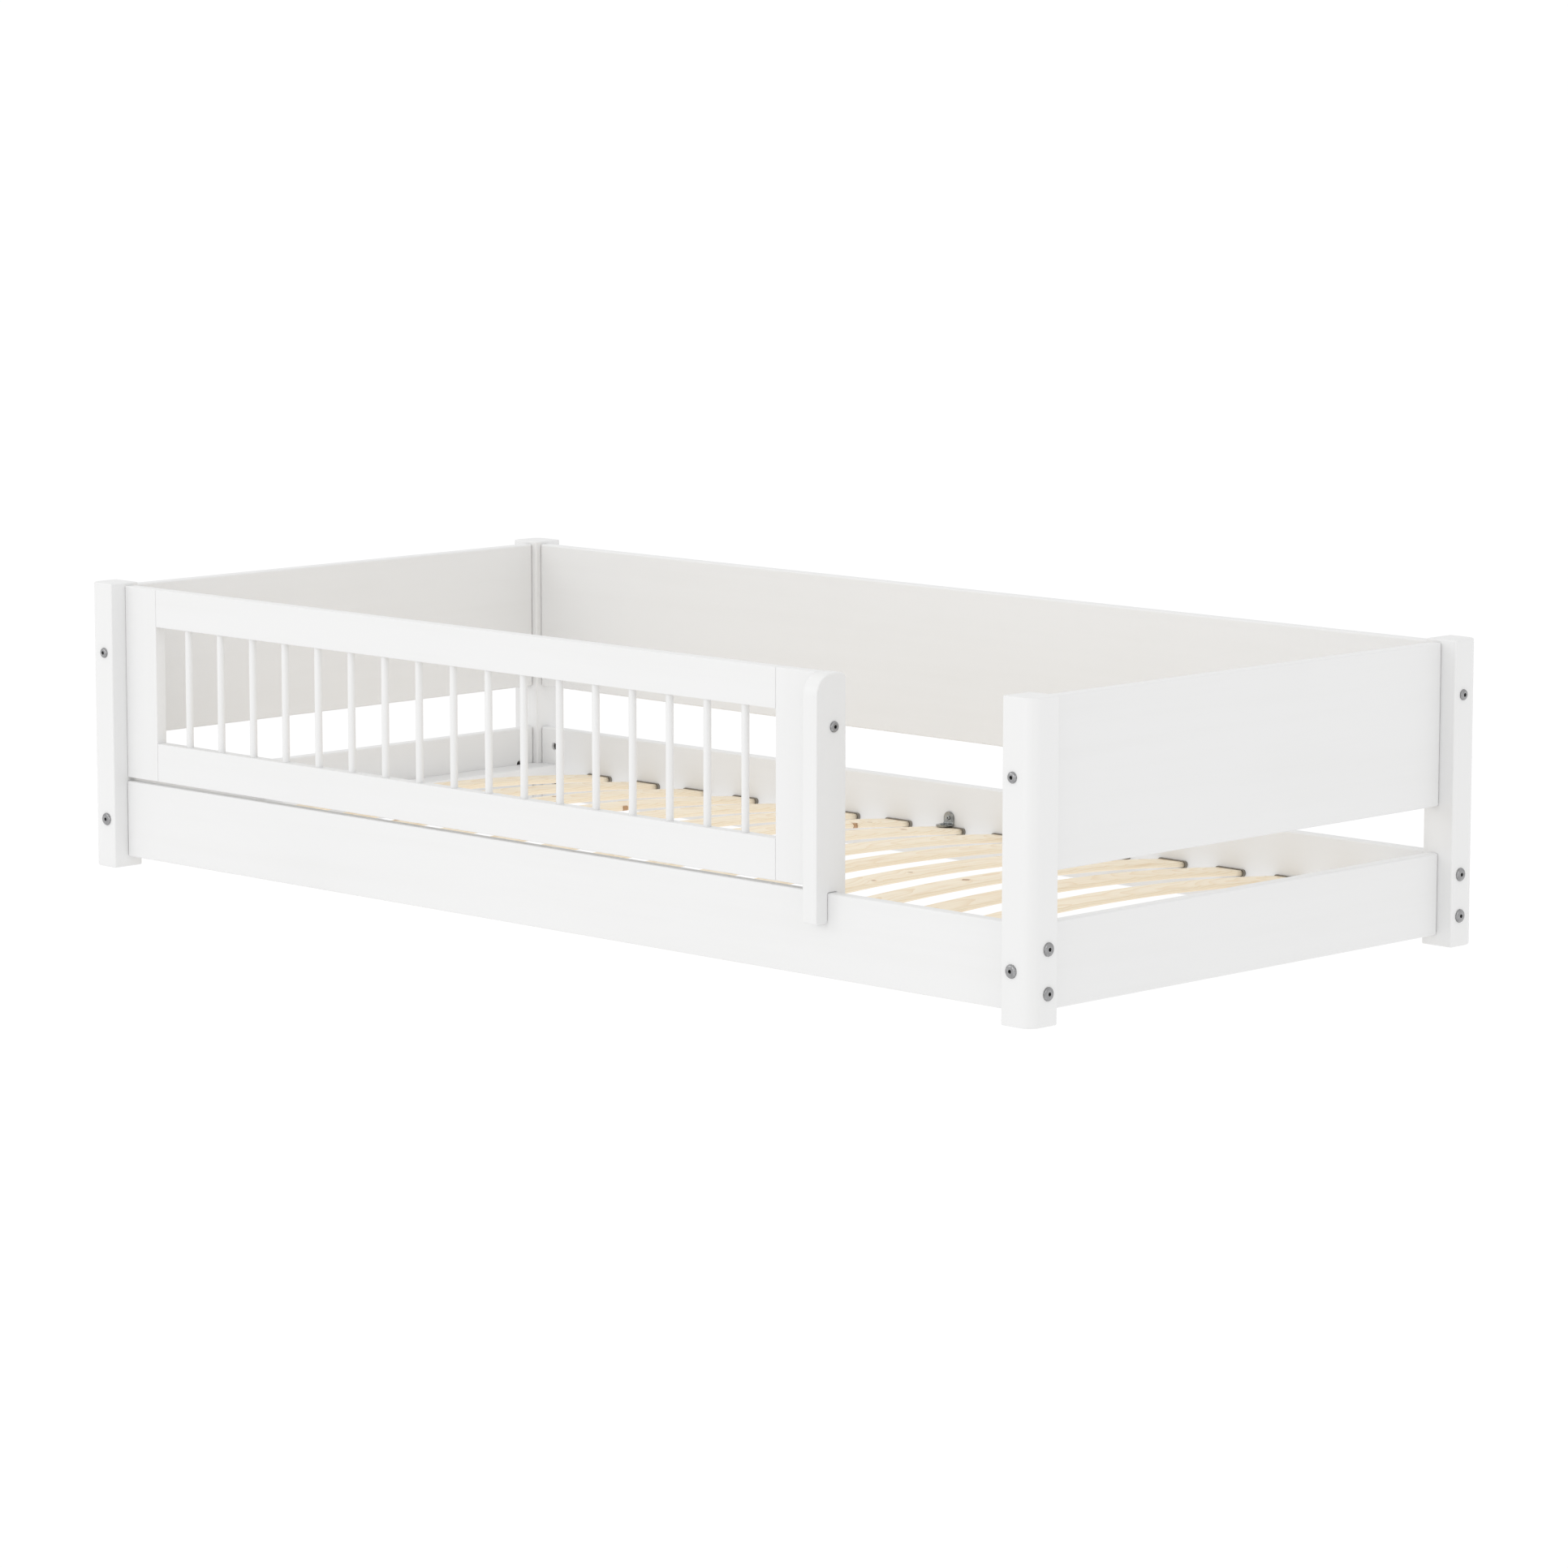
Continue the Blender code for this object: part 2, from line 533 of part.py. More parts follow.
def add_screw(name, axis, seat, direction, length, material):
    """Pan-head screw; seat is the point under the head."""
    place = seat_matrix(axis, seat, direction)
    bm = bmesh.new()
    loft(bm, [end_ring(place, radius, height, BOLT_SIDES) for radius, height in (
        (SCREW_HEAD_RADIUS * 0.6, -SCREW_HEAD_HEIGHT),
        (SCREW_HEAD_RADIUS, -SCREW_HEAD_HEIGHT * 0.4),
        (SCREW_HEAD_RADIUS, 0.0),
        (SCREW_RADIUS, 0.0),
        (SCREW_RADIUS, length))])
    add_object(name, bm, material)


def bolt_profile(radius, head_radius, tail):
    """(radius, height) from the bottom of the socket, round the head and down the shank."""
    top = -BOLT_HEAD_HEIGHT
    return [(BOLT_SOCKET_RADIUS, top + BOLT_SOCKET_DEPTH), (BOLT_SOCKET_RADIUS, top),
            (head_radius - BOLT_HEAD_EASE, top), (head_radius, top + BOLT_HEAD_EASE),
            (head_radius, 0.0), (radius, 0.0)] + tail


def add_long_bolt(name, axis, seat, direction, material):
    """Bolt through a post into a bottom rail, with its barrel nut on the end of the thread."""
    place = seat_matrix(axis, seat, direction)
    length = POST_SIDE + GAP + BOLT_IN_BOARD
    profile = bolt_profile(BOLT_RADIUS, BOLT_HEAD_RADIUS, [(BOLT_RADIUS, length)])
    bm = bmesh.new()
    loft(bm, [end_ring(place, *point) for point in profile])
    bolt = add_object(name, bm, material)
    nut = place @ Vector((0.0, 0.0, POST_SIDE + GAP + NUT_FROM_END))
    across = "Y" if axis == "X" else "X"
    nut["XYZ".index(across)] -= NUT_LENGTH / 2
    join_rods(bolt, name + "_nut", [(across, nut, NUT_LENGTH, NUT_RADIUS, BOLT_SIDES)])


def add_short_bolt(name, axis, seat, direction, wall, material):
    """Bolt through a wall into a board's end, with the threaded sleeve that it screws into."""
    place = seat_matrix(axis, seat, direction)
    sleeve_start = wall + 2 * GAP + END_PLAY
    sleeve_end = sleeve_start + INSERT_LENGTH - 2 * END_PLAY
    tail = [(SMALL_BOLT_RADIUS, sleeve_start), (INSERT_RADIUS, sleeve_start), (INSERT_RADIUS, sleeve_end)]
    profile = bolt_profile(SMALL_BOLT_RADIUS, SMALL_BOLT_HEAD_RADIUS, tail)
    bm = bmesh.new()
    loft(bm, [end_ring(place, *point) for point in profile])
    add_object(name, bm, material)


def add_bolts(material):
    """Every bolt sits on the outside of a post, or of the guard's support, and points inwards."""
    for side_x, across_word in ((-1, "left"), (1, "right")):
        for side_y, along_word in ((-1, "front"), (1, "back")):
            corner = f"{along_word}_{across_word}"
            outside_x = side_x * (BED_LENGTH / 2 + GAP)
            outside_y = side_y * (BED_WIDTH / 2 + GAP)
            for height, level in zip(RAIL_BOLT_HEIGHTS, ("lower", "upper")):
                add_long_bolt(f"side_rail_bolt_{corner}_{level}", "X", (outside_x, side_y * SIDE_Y, height),
                              -side_x, material)
            add_long_bolt(f"end_rail_bolt_{corner}", "Y", (side_x * END_X, outside_y, END_RAIL_BOLT_HEIGHT),
                          -side_y, material)
            add_short_bolt(f"end_panel_bolt_{corner}", "Y",
                           (side_x * END_X, outside_y, END_PANEL_BOLT_HEIGHT), -side_y, POST_SIDE, material)
        add_short_bolt(f"back_panel_bolt_{across_word}", "X", (outside_x, SIDE_Y, BACK_BOLT_HEIGHT),
                       -side_x, POST_SIDE, material)
    add_short_bolt("guard_bolt_post", "X", (-BED_LENGTH / 2 - GAP, GUARD_Y, BACK_BOLT_HEIGHT), 1,
                   POST_SIDE, material)
    add_short_bolt("guard_bolt_support", "X", (SUPPORT_RIGHT + GAP, GUARD_Y, BACK_BOLT_HEIGHT), -1,
                   SUPPORT_THICKNESS, material)


def add_slat_base(pine, zinc):
    """The slats, and the brackets and screws that hold the middle one to the rails."""
    numbers = range(-SLAT_HALF_COUNT, SLAT_HALF_COUNT + 1)
    slats = [add_slat(number, n * SLAT_PITCH, pine) for number, n in enumerate(numbers, start=1)]
    screw_top = BRACKET_BOTTOM + BRACKET_THICKNESS + GAP
    bore_depth = SCREW_SLAT_LENGTH + END_PLAY
    cut(slats[SLAT_HALF_COUNT], "middle_slat_holes",
        [("Z", (BRACKET_X, side * FOOT_SCREW_Y, screw_top), -bore_depth, SCREW_RADIUS, BOLT_SIDES)
         for side in (-1, 1)])
    for side, word in ((-1, "front"), (1, "back")):
        add_bracket(f"slat_bracket_{word}", side, zinc)
        wall_seat = side * (RAIL_INNER_Y - BRACKET_THICKNESS - 2 * GAP)
        add_screw(f"bracket_rail_screw_{word}", "Y", (BRACKET_X, wall_seat, WALL_SCREW_HEIGHT), side,
                  SCREW_WALL_LENGTH, zinc)
        add_screw(f"bracket_slat_screw_{word}", "Z", (BRACKET_X, side * FOOT_SCREW_Y, screw_top), -1,
                  SCREW_SLAT_LENGTH, zinc)


def main():
    clear_scene()
    paint = make_material("white_paint", (0.86, 0.86, 0.85), 0.45)
    pine = make_material("pine", (0.80, 0.66, 0.46), 0.6)
    zinc = make_material("zinc_plate", (0.55, 0.56, 0.56), 0.4, 1.0)
    steel = make_material("bolt_steel", (0.48, 0.48, 0.48), 0.35, 1.0)

    add_post("post_front_left", -1, -1, GUARD_Y, paint)
    add_post("post_front_right", 1, -1, None, paint)
    add_post("post_back_left", -1, 1, SIDE_Y, paint)
    add_post("post_back_right", 1, 1, SIDE_Y, paint)
    add_side_rail("side_rail_front", -1, paint)
    add_side_rail("side_rail_back", 1, paint)
    add_end_rail("end_rail_left", -1, paint)
    add_end_rail("end_rail_right", 1, paint)
    add_back_panel(paint)
    add_end_panel("end_panel_left", -1, paint)
    add_end_panel("end_panel_right", 1, paint)
    add_guard_stiles(paint)
    add_guard_rails(paint)
    add_support(paint)
    add_cleat("end_cleat_left", -1, paint)
    add_cleat("end_cleat_right", 1, paint)
    add_slat_base(pine, zinc)
    add_bolts(steel)


main()
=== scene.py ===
import bmesh
import bpy
from math import cos, pi, radians, sin
from mathutils import Matrix, Vector


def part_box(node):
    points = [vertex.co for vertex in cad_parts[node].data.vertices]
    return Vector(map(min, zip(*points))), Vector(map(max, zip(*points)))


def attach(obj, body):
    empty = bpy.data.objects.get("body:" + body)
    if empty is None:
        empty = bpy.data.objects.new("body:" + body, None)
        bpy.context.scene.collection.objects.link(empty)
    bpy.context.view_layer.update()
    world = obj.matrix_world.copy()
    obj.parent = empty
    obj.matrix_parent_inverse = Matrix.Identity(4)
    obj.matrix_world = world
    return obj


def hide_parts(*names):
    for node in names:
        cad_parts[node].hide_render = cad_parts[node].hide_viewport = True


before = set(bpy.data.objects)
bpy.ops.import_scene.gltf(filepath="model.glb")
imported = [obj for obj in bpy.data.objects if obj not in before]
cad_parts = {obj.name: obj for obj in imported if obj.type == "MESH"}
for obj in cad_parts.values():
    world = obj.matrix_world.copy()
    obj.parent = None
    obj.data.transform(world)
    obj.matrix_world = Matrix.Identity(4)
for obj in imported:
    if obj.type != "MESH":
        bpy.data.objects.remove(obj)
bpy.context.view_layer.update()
print("frame loaded,", len(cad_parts), "nodes")


class Value:
    # an output socket to do sums with: 1 - mask adds a Math node
    def __init__(self, tree, socket):
        self.tree = tree
        self.socket = socket

    def math(self, operation, first, second=0.0):
        return self.tree.node("ShaderNodeMath", {"operation": operation}, {0: first, 1: second})

    def __add__(self, other):
        return self.math("ADD", self, other)

    def __radd__(self, other):
        return self.math("ADD", other, self)

    def __sub__(self, other):
        return self.math("SUBTRACT", self, other)

    def __rsub__(self, other):
        return self.math("SUBTRACT", other, self)

    def __mul__(self, other):
        return self.math("MULTIPLY", self, other)

    def __rmul__(self, other):
        return self.math("MULTIPLY", other, self)

    def __truediv__(self, other):
        return self.math("DIVIDE", self, other)

    def __pow__(self, other):
        return self.math("POWER", self, other)


class Tree:
    def __init__(self, tree):
        self.tree = tree

    def node(self, kind, settings=None, inputs=None, output=0):
        made = self.tree.nodes.new(kind)
        for name, value in (settings or {}).items():
            if name == "stops":
                self.setStops(made.color_ramp, value)
            else:
                setattr(made, name, value)
        for key, value in (inputs or {}).items():
            if isinstance(value, Value):
                self.tree.links.new(value.socket, made.inputs[key])
            else:
                made.inputs[key].default_value = value
        return Value(self, made.outputs[output])

    def setStops(self, ramp, stops):
        while len(ramp.elements) < len(stops):
            ramp.elements.new(1.0)
        for element, (place, color) in zip(ramp.elements, stops):
            element.position = place
            element.color = (*color, 1.0)

    def separate(self, vector):
        split = self.tree.nodes.new("ShaderNodeSeparateXYZ")
        self.tree.links.new(vector.socket, split.inputs[0])
        return [Value(self, socket) for socket in split.outputs]

    def combine(self, x, y, z):
        return self.node("ShaderNodeCombineXYZ", None, {0: x, 1: y, 2: z})

    def vector(self, operation, first, second):
        return self.node("ShaderNodeVectorMath", {"operation": operation}, {0: first, 1: second})

    def clamp(self, value):
        return self.node("ShaderNodeClamp", None, {"Value": value})

    def blend(self, share, first, second):
        # colour mix; share 0 gives the first colour
        settings = {"data_type": "RGBA", "blend_type": "MIX"}
        return self.node("ShaderNodeMix", settings, {0: share, 6: first, 7: second}, 2)

    def noise(self, vector, scale, detail=2.0, roughness=0.5):
        inputs = {"Vector": vector, "Scale": scale, "Detail": detail, "Roughness": roughness}
        return self.node("ShaderNodeTexNoise", None, inputs)

    def bump(self, height, strength, distance):
        inputs = {"Height": height, "Strength": strength, "Distance": distance}
        return self.node("ShaderNodeBump", None, inputs)


class Finish(Tree):
    # a material under way
    def __init__(self, name, color, roughness, **fixed):
        self.material = bpy.data.materials.new(name)
        self.material.use_nodes = True
        super().__init__(self.material.node_tree)
        self.shader = self.tree.nodes["Principled BSDF"]
        self.shader.inputs["Base Color"].default_value = (*color, 1.0)
        self.shader.inputs["Roughness"].default_value = roughness
        for socket, value in fixed.items():
            self.shader.inputs[socket.replace("_", " ")].default_value = value
        self.place = self.node("ShaderNodeTexCoord", None, None, "Object")

    def feed(self, socket, value):
        self.tree.links.new(value.socket, self.shader.inputs[socket])


paint = {
    "white": (0.800, 0.800, 0.798),
    "thin": (0.782, 0.781, 0.775),      # where the coat lies thinner over the wood
    "roughness": 0.36,
    "fibres": 260.0,                    # wood fibres per metre across the grain
    "stretch": 0.035,                   # how much slower the pattern runs along the grain
    "peel": 900.0,                      # fine orange peel of the lacquer
    "wobble": 2.2,                      # slow changes of the shine
    "rings": 34.0,
    "clouds": 5.0,
    "thinFrom": 0.47,                   # where the pattern starts to show in the coat
    "contrast": 3.2,
    "bump": 0.10,
    "bumpDepth": 0.0006,
}


def paintedWood(name, grain):
    finish = Finish(name, paint["white"], paint["roughness"])
    slow = [1.0, 1.0, 1.0]
    slow["XYZ".index(grain)] = paint["stretch"]
    fibre = finish.node("ShaderNodeMapping", None, {"Vector": finish.place, "Scale": slow})
    wobble = finish.noise(finish.place, paint["wobble"], 2.0)
    rings = finish.noise(fibre, paint["rings"], 3.0, 0.55)
    strands = finish.noise(fibre, paint["fibres"], 4.0, 0.6)
    clouds = finish.noise(finish.place, paint["clouds"], 3.0, 0.5)
    peel = finish.noise(finish.place, paint["peel"], 1.0)
    coat = finish.clamp(0.55 * rings + 0.30 * clouds + 0.15 * strands)
    thinness = finish.clamp((coat - paint["thinFrom"]) * paint["contrast"])
    finish.feed("Base Color", finish.blend(thinness, (*paint["white"], 1.0), (*paint["thin"], 1.0)))
    finish.feed("Roughness", paint["roughness"] + 0.10 * (strands - 0.5) + 0.08 * (wobble - 0.5))
    relief = 0.55 * strands + 0.35 * rings + 0.10 * peel
    finish.feed("Normal", finish.bump(relief, paint["bump"], paint["bumpDepth"]))
    return finish.material


pine = {
    "early": (0.930, 0.830, 0.660),
    "late": (0.800, 0.610, 0.380),
    "heart": (0.890, 0.760, 0.570),
    "streak": (0.720, 0.500, 0.280),
    "halo": (0.760, 0.530, 0.300),
    "knot": (0.440, 0.230, 0.095),
    "knotRim": (0.200, 0.090, 0.035),
    "ringsPerMetre": 330.0,
    "knotsPerMetre": 12.0,
    "knotShare": 0.34,                  # of the cells
    "knotRadius": 0.075,                # of a cell
    "roughness": 0.52,
    "bump": 0.22,
    "bumpDepth": 0.0004,
    "fray": 160.0,                      # ragged edge of the knots
    # how fast each pattern changes across, along and through a slat
    "drift": (2.0, 1.3, 2.0),
    "waver": (9.0, 7.0, 9.0),
    "fine": (900.0, 22.0, 900.0),
    "tone": (14.0, 1.6, 14.0),
    "streaks": (150.0, 4.0, 150.0),
}


def slatWood():
    # "grain" is the place on one slat, with the slat along Y, and "tree" a random shift for each slat
    finish = Finish("barePine", pine["early"], pine["roughness"])
    local = finish.node("ShaderNodeAttribute", {"attribute_name": "grain"}, None, "Vector")
    tree = finish.node("ShaderNodeAttribute", {"attribute_name": "tree"}, None, "Vector")
    along = finish.vector("ADD", local, finish.vector("MULTIPLY", tree, (17.0, 31.0, 23.0)))
    u, _, w = finish.separate(local)
    treeX, treeY, treeZ = finish.separate(tree)

    def stretched(scale, detail=2.0, roughness=0.5):
        return finish.noise(finish.vector("MULTIPLY", along, scale), 1.0, detail, roughness)

    # knots: a few cells hold one, with a ragged edge, and the rings swell round it
    fray = finish.node("ShaderNodeTexNoise", None, {"Vector": along, "Scale": pine["fray"]}, 1)
    ragged = finish.vector("MULTIPLY", fray, (0.07, 0.07, 0.0))
    perMetre = pine["knotsPerMetre"]
    cells = finish.vector("ADD", finish.vector("MULTIPLY", along, (perMetre, perMetre, 0.0)), ragged)
    options = {"voronoi_dimensions": "2D"}
    distance = finish.node("ShaderNodeTexVoronoi", options, {"Vector": cells, "Scale": 1.0}, "Distance")
    cell = finish.node("ShaderNodeTexVoronoi", options, {"Vector": cells, "Scale": 1.0}, "Color")
    chance, size, _ = finish.separate(cell)
    present = finish.node("ShaderNodeMath", {"operation": "LESS_THAN"}, {0: chance, 1: pine["knotShare"]})
    knotDistance = distance / (pine["knotRadius"] * (0.45 + 0.75 * size))
    swell = finish.clamp(1.0 - distance * 2.6) ** 2.0 * present
    core = finish.clamp((1.05 - knotDistance) * 5.0) * present
    off = finish.node("ShaderNodeMath", {"operation": "ABSOLUTE"}, {0: knotDistance - 0.9})
    rim = finish.clamp(1.0 - 5.0 * off) * present
    halo = finish.clamp(1.35 - 0.55 * knotDistance) ** 2.0 * present

    # growth rings round a pith below the slat
    drift = stretched(pine["drift"])
    waver = stretched(pine["waver"])
    across = u + 0.05 * (treeX - 0.5) + 0.035 * (drift - 0.5)
    below = w + 0.018 + 0.05 * treeZ + 0.012 * (waver - 0.5)
    reach = (across * across + below * below) ** 0.5
    phase = reach * pine["ringsPerMetre"] + 1.4 * swell
    turn = finish.node("ShaderNodeMath", {"operation": "FRACT"}, {0: phase})
    late = finish.clamp((turn - 0.30) * 1.5) ** 2.0
    fine = stretched(pine["fine"], 3.0, 0.6)
    tone = stretched(pine["tone"])
    streaks = finish.clamp((stretched(pine["streaks"], 3.0) - 0.58) * 6.0)

    warmth = finish.clamp(1.5 * (tone - 0.38) + 0.5 * (treeY - 0.5))
    wood = finish.blend(warmth, (*pine["early"], 1.0), (*pine["heart"], 1.0))
    wood = finish.blend(finish.clamp(0.55 * late + 0.35 * (fine - 0.5)), wood, (*pine["late"], 1.0))
    wood = finish.blend(0.38 * streaks, wood, (*pine["streak"], 1.0))
    wood = finish.blend(finish.clamp(0.55 * halo), wood, (*pine["halo"], 1.0))
    wood = finish.blend(0.85 * core, wood, (*pine["knot"], 1.0))
    wood = finish.blend(0.70 * rim, wood, (*pine["knotRim"], 1.0))
    finish.feed("Base Color", wood)
    finish.feed("Roughness", pine["roughness"] + 0.14 * (fine - 0.5) - 0.12 * core)
    finish.feed("Normal", finish.bump(0.6 * fine + 0.4 * late, pine["bump"], pine["bumpDepth"]))
    return finish.material


plastic = {
    "base": (0.215, 0.192, 0.160),
    "light": (0.236, 0.212, 0.178),
    "dark": (0.192, 0.170, 0.140),
    "roughness": 0.48,
    "speckle": 1600.0,
    "clouds": 45.0,
    "bump": 0.15,
    "bumpDepth": 0.0002,
}


def mouldedPlastic():
    finish = Finish("greyBrownPlastic", plastic["base"], plastic["roughness"])
    speckle = finish.noise(finish.place, plastic["speckle"], 2.0)
    clouds = finish.noise(finish.place, plastic["clouds"], 2.0)
    finish.feed("Base Color", finish.blend(clouds, (*plastic["light"], 1.0), (*plastic["dark"], 1.0)))
    finish.feed("Roughness", 0.42 + 0.16 * speckle)
    finish.feed("Normal", finish.bump(speckle, plastic["bump"], plastic["bumpDepth"]))
    return finish.material


steel = {
    "haze": 0.6,                        # scale of the clouds as a share of the crystals'
    "brushing": 2400.0,
    "brushStretch": (1.0, 0.15, 1.0),
    # painted shade: a near black colour put into the key holes in place of the shade inside them
    "recess": (0.04, 0.04, 0.04),
    "keyHoleShadeShare": 0.85,
    "bump": 0.06,
    "bumpDepth": 0.0001,
}


def platedSteel(name, light, dark, roughness, scale):
    # cloudy crystals and fine brushing in the shine, the dark clouds partly painted reflection; "recess" is 1
    # in a key hole, where the colour goes near black as painted shade
    finish = Finish(name, light, roughness, Metallic=1.0)
    inputs = {"Vector": finish.place, "Scale": scale}
    crystals = finish.node("ShaderNodeTexVoronoi", {"feature": "SMOOTH_F1"}, inputs, "Distance")
    haze = finish.noise(finish.place, scale * steel["haze"], 3.0)
    brushed = finish.node("ShaderNodeMapping", None, {"Vector": finish.place, "Scale": steel["brushStretch"]})
    scratches = finish.noise(brushed, steel["brushing"], 2.0)
    # the dark share follows crystals and clouds: partly the plate's own mottle, partly painted reflection of
    # dark surroundings
    share = finish.clamp(0.5 * crystals + 2.2 * (haze - 0.42))
    recess = finish.node("ShaderNodeAttribute", {"attribute_name": "recess"}, None, "Fac")
    plate = finish.blend(share, (*light, 1.0), (*dark, 1.0))
    # painted shade: the key hole, marked by "recess", is mixed towards the near black colour
    finish.feed("Base Color", finish.blend(steel["keyHoleShadeShare"] * recess, plate, (*steel["recess"], 1.0)))
    finish.feed("Roughness", roughness + 0.16 * (haze - 0.5) + 0.10 * (scratches - 0.5))
    finish.feed("Normal", finish.bump(scratches, steel["bump"], steel["bumpDepth"]))
    return finish.material


paintAlong = {axis: paintedWood("whiteLacquer" + axis, axis) for axis in "XYZ"}
barePine = slatWood()
capPlastic = mouldedPlastic()
boltSteel = platedSteel("boltSteel", (0.38, 0.38, 0.385), (0.27, 0.27, 0.275), 0.27, 320.0)
# painted reflection: the bracket's very dark clouds stand in for the dark spots its shiny bends reflect
bracketZinc = platedSteel("bracketZinc", (0.42, 0.43, 0.42), (0.13, 0.135, 0.14), 0.24, 190.0)
# painted shade: the barrel nuts are made darker than the bolts for the shade of the holes they sit in
nutSteel = platedSteel("nutSteel", (0.22, 0.21, 0.20), (0.12, 0.12, 0.12), 0.42, 300.0)
print("finishes made")


def addPiece(name, bm, material):
    bmesh.ops.recalc_face_normals(bm, faces=bm.faces)
    for face in bm.faces:
        face.smooth = True
    mesh = bpy.data.meshes.new(name)
    bm.to_mesh(mesh)
    bm.free()
    piece = bpy.data.objects.new(name, mesh)
    bpy.context.scene.collection.objects.link(piece)
    mesh.materials.append(material)
    return piece


def settle(piece):
    # works the modifiers out into a plain mesh
    graph = bpy.context.evaluated_depsgraph_get()
    graph.update()
    shape = piece.evaluated_get(graph)
    mesh = bpy.data.meshes.new_from_object(shape, preserve_all_data_layers=True, depsgraph=graph)
    piece.modifiers.clear()
    piece.data = mesh
    return piece


def handOver(piece, slot, *nodes):
    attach(piece, "root")
    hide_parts(*nodes)


def loft(bm, rings, closed=False):
    made = [[bm.verts.new(point) for point in ring] for ring in rings]
    pairs = list(zip(made, made[1:]))
    if closed:
        pairs.append((made[-1], made[0]))
    for first, second in pairs:
        for i in range(len(first)):
            j = (i + 1) % len(first)
            bm.faces.new((first[i], first[j], second[j], second[i]))
    if not closed:
        bm.faces.new(made[0][::-1])
        bm.faces.new(made[-1])


easing = {
    "segments": 4,
    "fromAngle": 30,                    # degrees between the faces at an edge
}


def ease(piece, edge, holes=None):
    # rounds the edges, drills the holes and keeps the broad faces flat in the shading
    bevel = piece.modifiers.new("easedEdges", "BEVEL")
    bevel.width = edge
    bevel.segments = easing["segments"]
    bevel.limit_method = "ANGLE"
    bevel.angle_limit = radians(easing["fromAngle"])
    if holes:
        drill = addPiece(piece.name + "Drill", holes, piece.data.materials[0])
        boolean = piece.modifiers.new("holes", "BOOLEAN")
        boolean.object = drill
        boolean.solver = "EXACT"
    piece.modifiers.new("flatFaces", "WEIGHTED_NORMAL").keep_sharp = True
    settle(piece)
    if holes:
        bpy.data.objects.remove(drill)
    return piece


def addBoard(name, low, high, edge, grain, holes=None):
    bm = bmesh.new()
    size = Vector(high) - Vector(low)
    middle = (Vector(high) + Vector(low)) / 2
    bmesh.ops.create_cube(bm, size=1.0, matrix=Matrix.Translation(middle) @ Matrix.Diagonal((*size, 1.0)))
    return ease(addPiece(name, bm, paintAlong[grain]), edge, holes)


def arc(centerX, centerY, radius, start, end, steps):
    turns = [start + (end - start) * i / steps for i in range(steps + 1)]
    return [(centerX + radius * cos(a), centerY + radius * sin(a)) for a in turns]


post = {
    "cornerRadius": 0.020,              # the outer upright corner
    "cornerSteps": 12,
    "edge": 0.0025,
}
corners = {(sideX, sideY): f"post_{along}_{across}" for sideX, across in ((-1, "left"), (1, "right"))
           for sideY, along in ((-1, "front"), (1, "back"))}

for (sideX, sideY), node in corners.items():
    low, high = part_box(node)
    middle = (low + high) / 2
    half = (high.x - low.x) / 2
    inside = half - post["cornerRadius"]
    outline = [(-half, half), (-half, -half), (half, -half)]
    outline += arc(inside, inside, post["cornerRadius"], 0, pi / 2, post["cornerSteps"])
    bm = bmesh.new()
    loft(bm, [[(middle.x + sideX * x, middle.y + sideY * y, z) for x, y in outline]
              for z in (low.z, high.z)])
    name = "".join(word.capitalize() for word in node.split("_"))
    handOver(ease(addPiece(name, bm, paintAlong["Z"]), post["edge"]), "white_paint", node)

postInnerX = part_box("post_front_right")[0].x
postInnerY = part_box("post_back_right")[0].y
print("posts made")


boards = {
    "seam": 0.0005,                     # open joint at a post
    "edge": 0.003,
    "nutFromPost": 0.0335,              # middle of a barrel nut from the post
    "nutHoleRadius": 0.0063,
    "nutHoleDepth": 0.0165,
    "nutHoleSides": 32,
    "sideNutHeights": (0.0475, 0.1115),
    "endNutHeight": 0.080,
}
nutPlaces = []                          # (place, way out of the hole)
boardEndX = postInnerX - boards["seam"]
boardEndY = postInnerY - boards["seam"]


def addNutHole(bm, axis, place, way):
    # the drill reaches equally far to both sides of the face; way points out of the hole
    turn = {"X": Matrix.Rotation(pi / 2, 4, "Y"), "Y": Matrix.Rotation(pi / 2, 4, "X")}
    radius = boards["nutHoleRadius"]
    bmesh.ops.create_cone(bm, cap_ends=True, segments=boards["nutHoleSides"], radius1=radius, radius2=radius,
                          depth=2 * boards["nutHoleDepth"], matrix=Matrix.Translation(place) @ turn[axis])
    nutPlaces.append((place, way))


for side, along in ((-1, "front"), (1, "back")):
    low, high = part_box("side_rail_" + along)
    inner = high.y if side < 0 else low.y
    holes = bmesh.new()
    for half in (-1, 1):
        for height in boards["sideNutHeights"]:
            place = (half * (postInnerX - boards["nutFromPost"]), inner, height)
            addNutHole(holes, "Y", place, (0, -side, 0))
    start = (-boardEndX, low.y, low.z)
    end = (boardEndX, high.y, high.z)
    rail = addBoard("SideRail" + along.capitalize(), start, end, boards["edge"], "X", holes)
    handOver(rail, "white_paint", "side_rail_" + along)

for side, across in ((-1, "left"), (1, "right")):
    low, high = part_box("end_rail_" + across)
    inner = high.x if side < 0 else low.x
    holes = bmesh.new()
    for half in (-1, 1):
        place = (inner, half * (postInnerY - boards["nutFromPost"]), boards["endNutHeight"])
        addNutHole(holes, "X", place, (-side, 0, 0))
    start = (low.x, -boardEndY, low.z)
    end = (high.x, boardEndY, high.z)
    rail = addBoard("EndRail" + across.capitalize(), start, end, boards["edge"], "Y", holes)
    handOver(rail, "white_paint", "end_rail_" + across)
    low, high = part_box("end_panel_" + across)
    start = (low.x, -boardEndY, low.z)
    end = (high.x, boardEndY, high.z)
    panel = addBoard("EndPanel" + across.capitalize(), start, end, boards["edge"], "Y")
    handOver(panel, "white_paint", "end_panel_" + across)

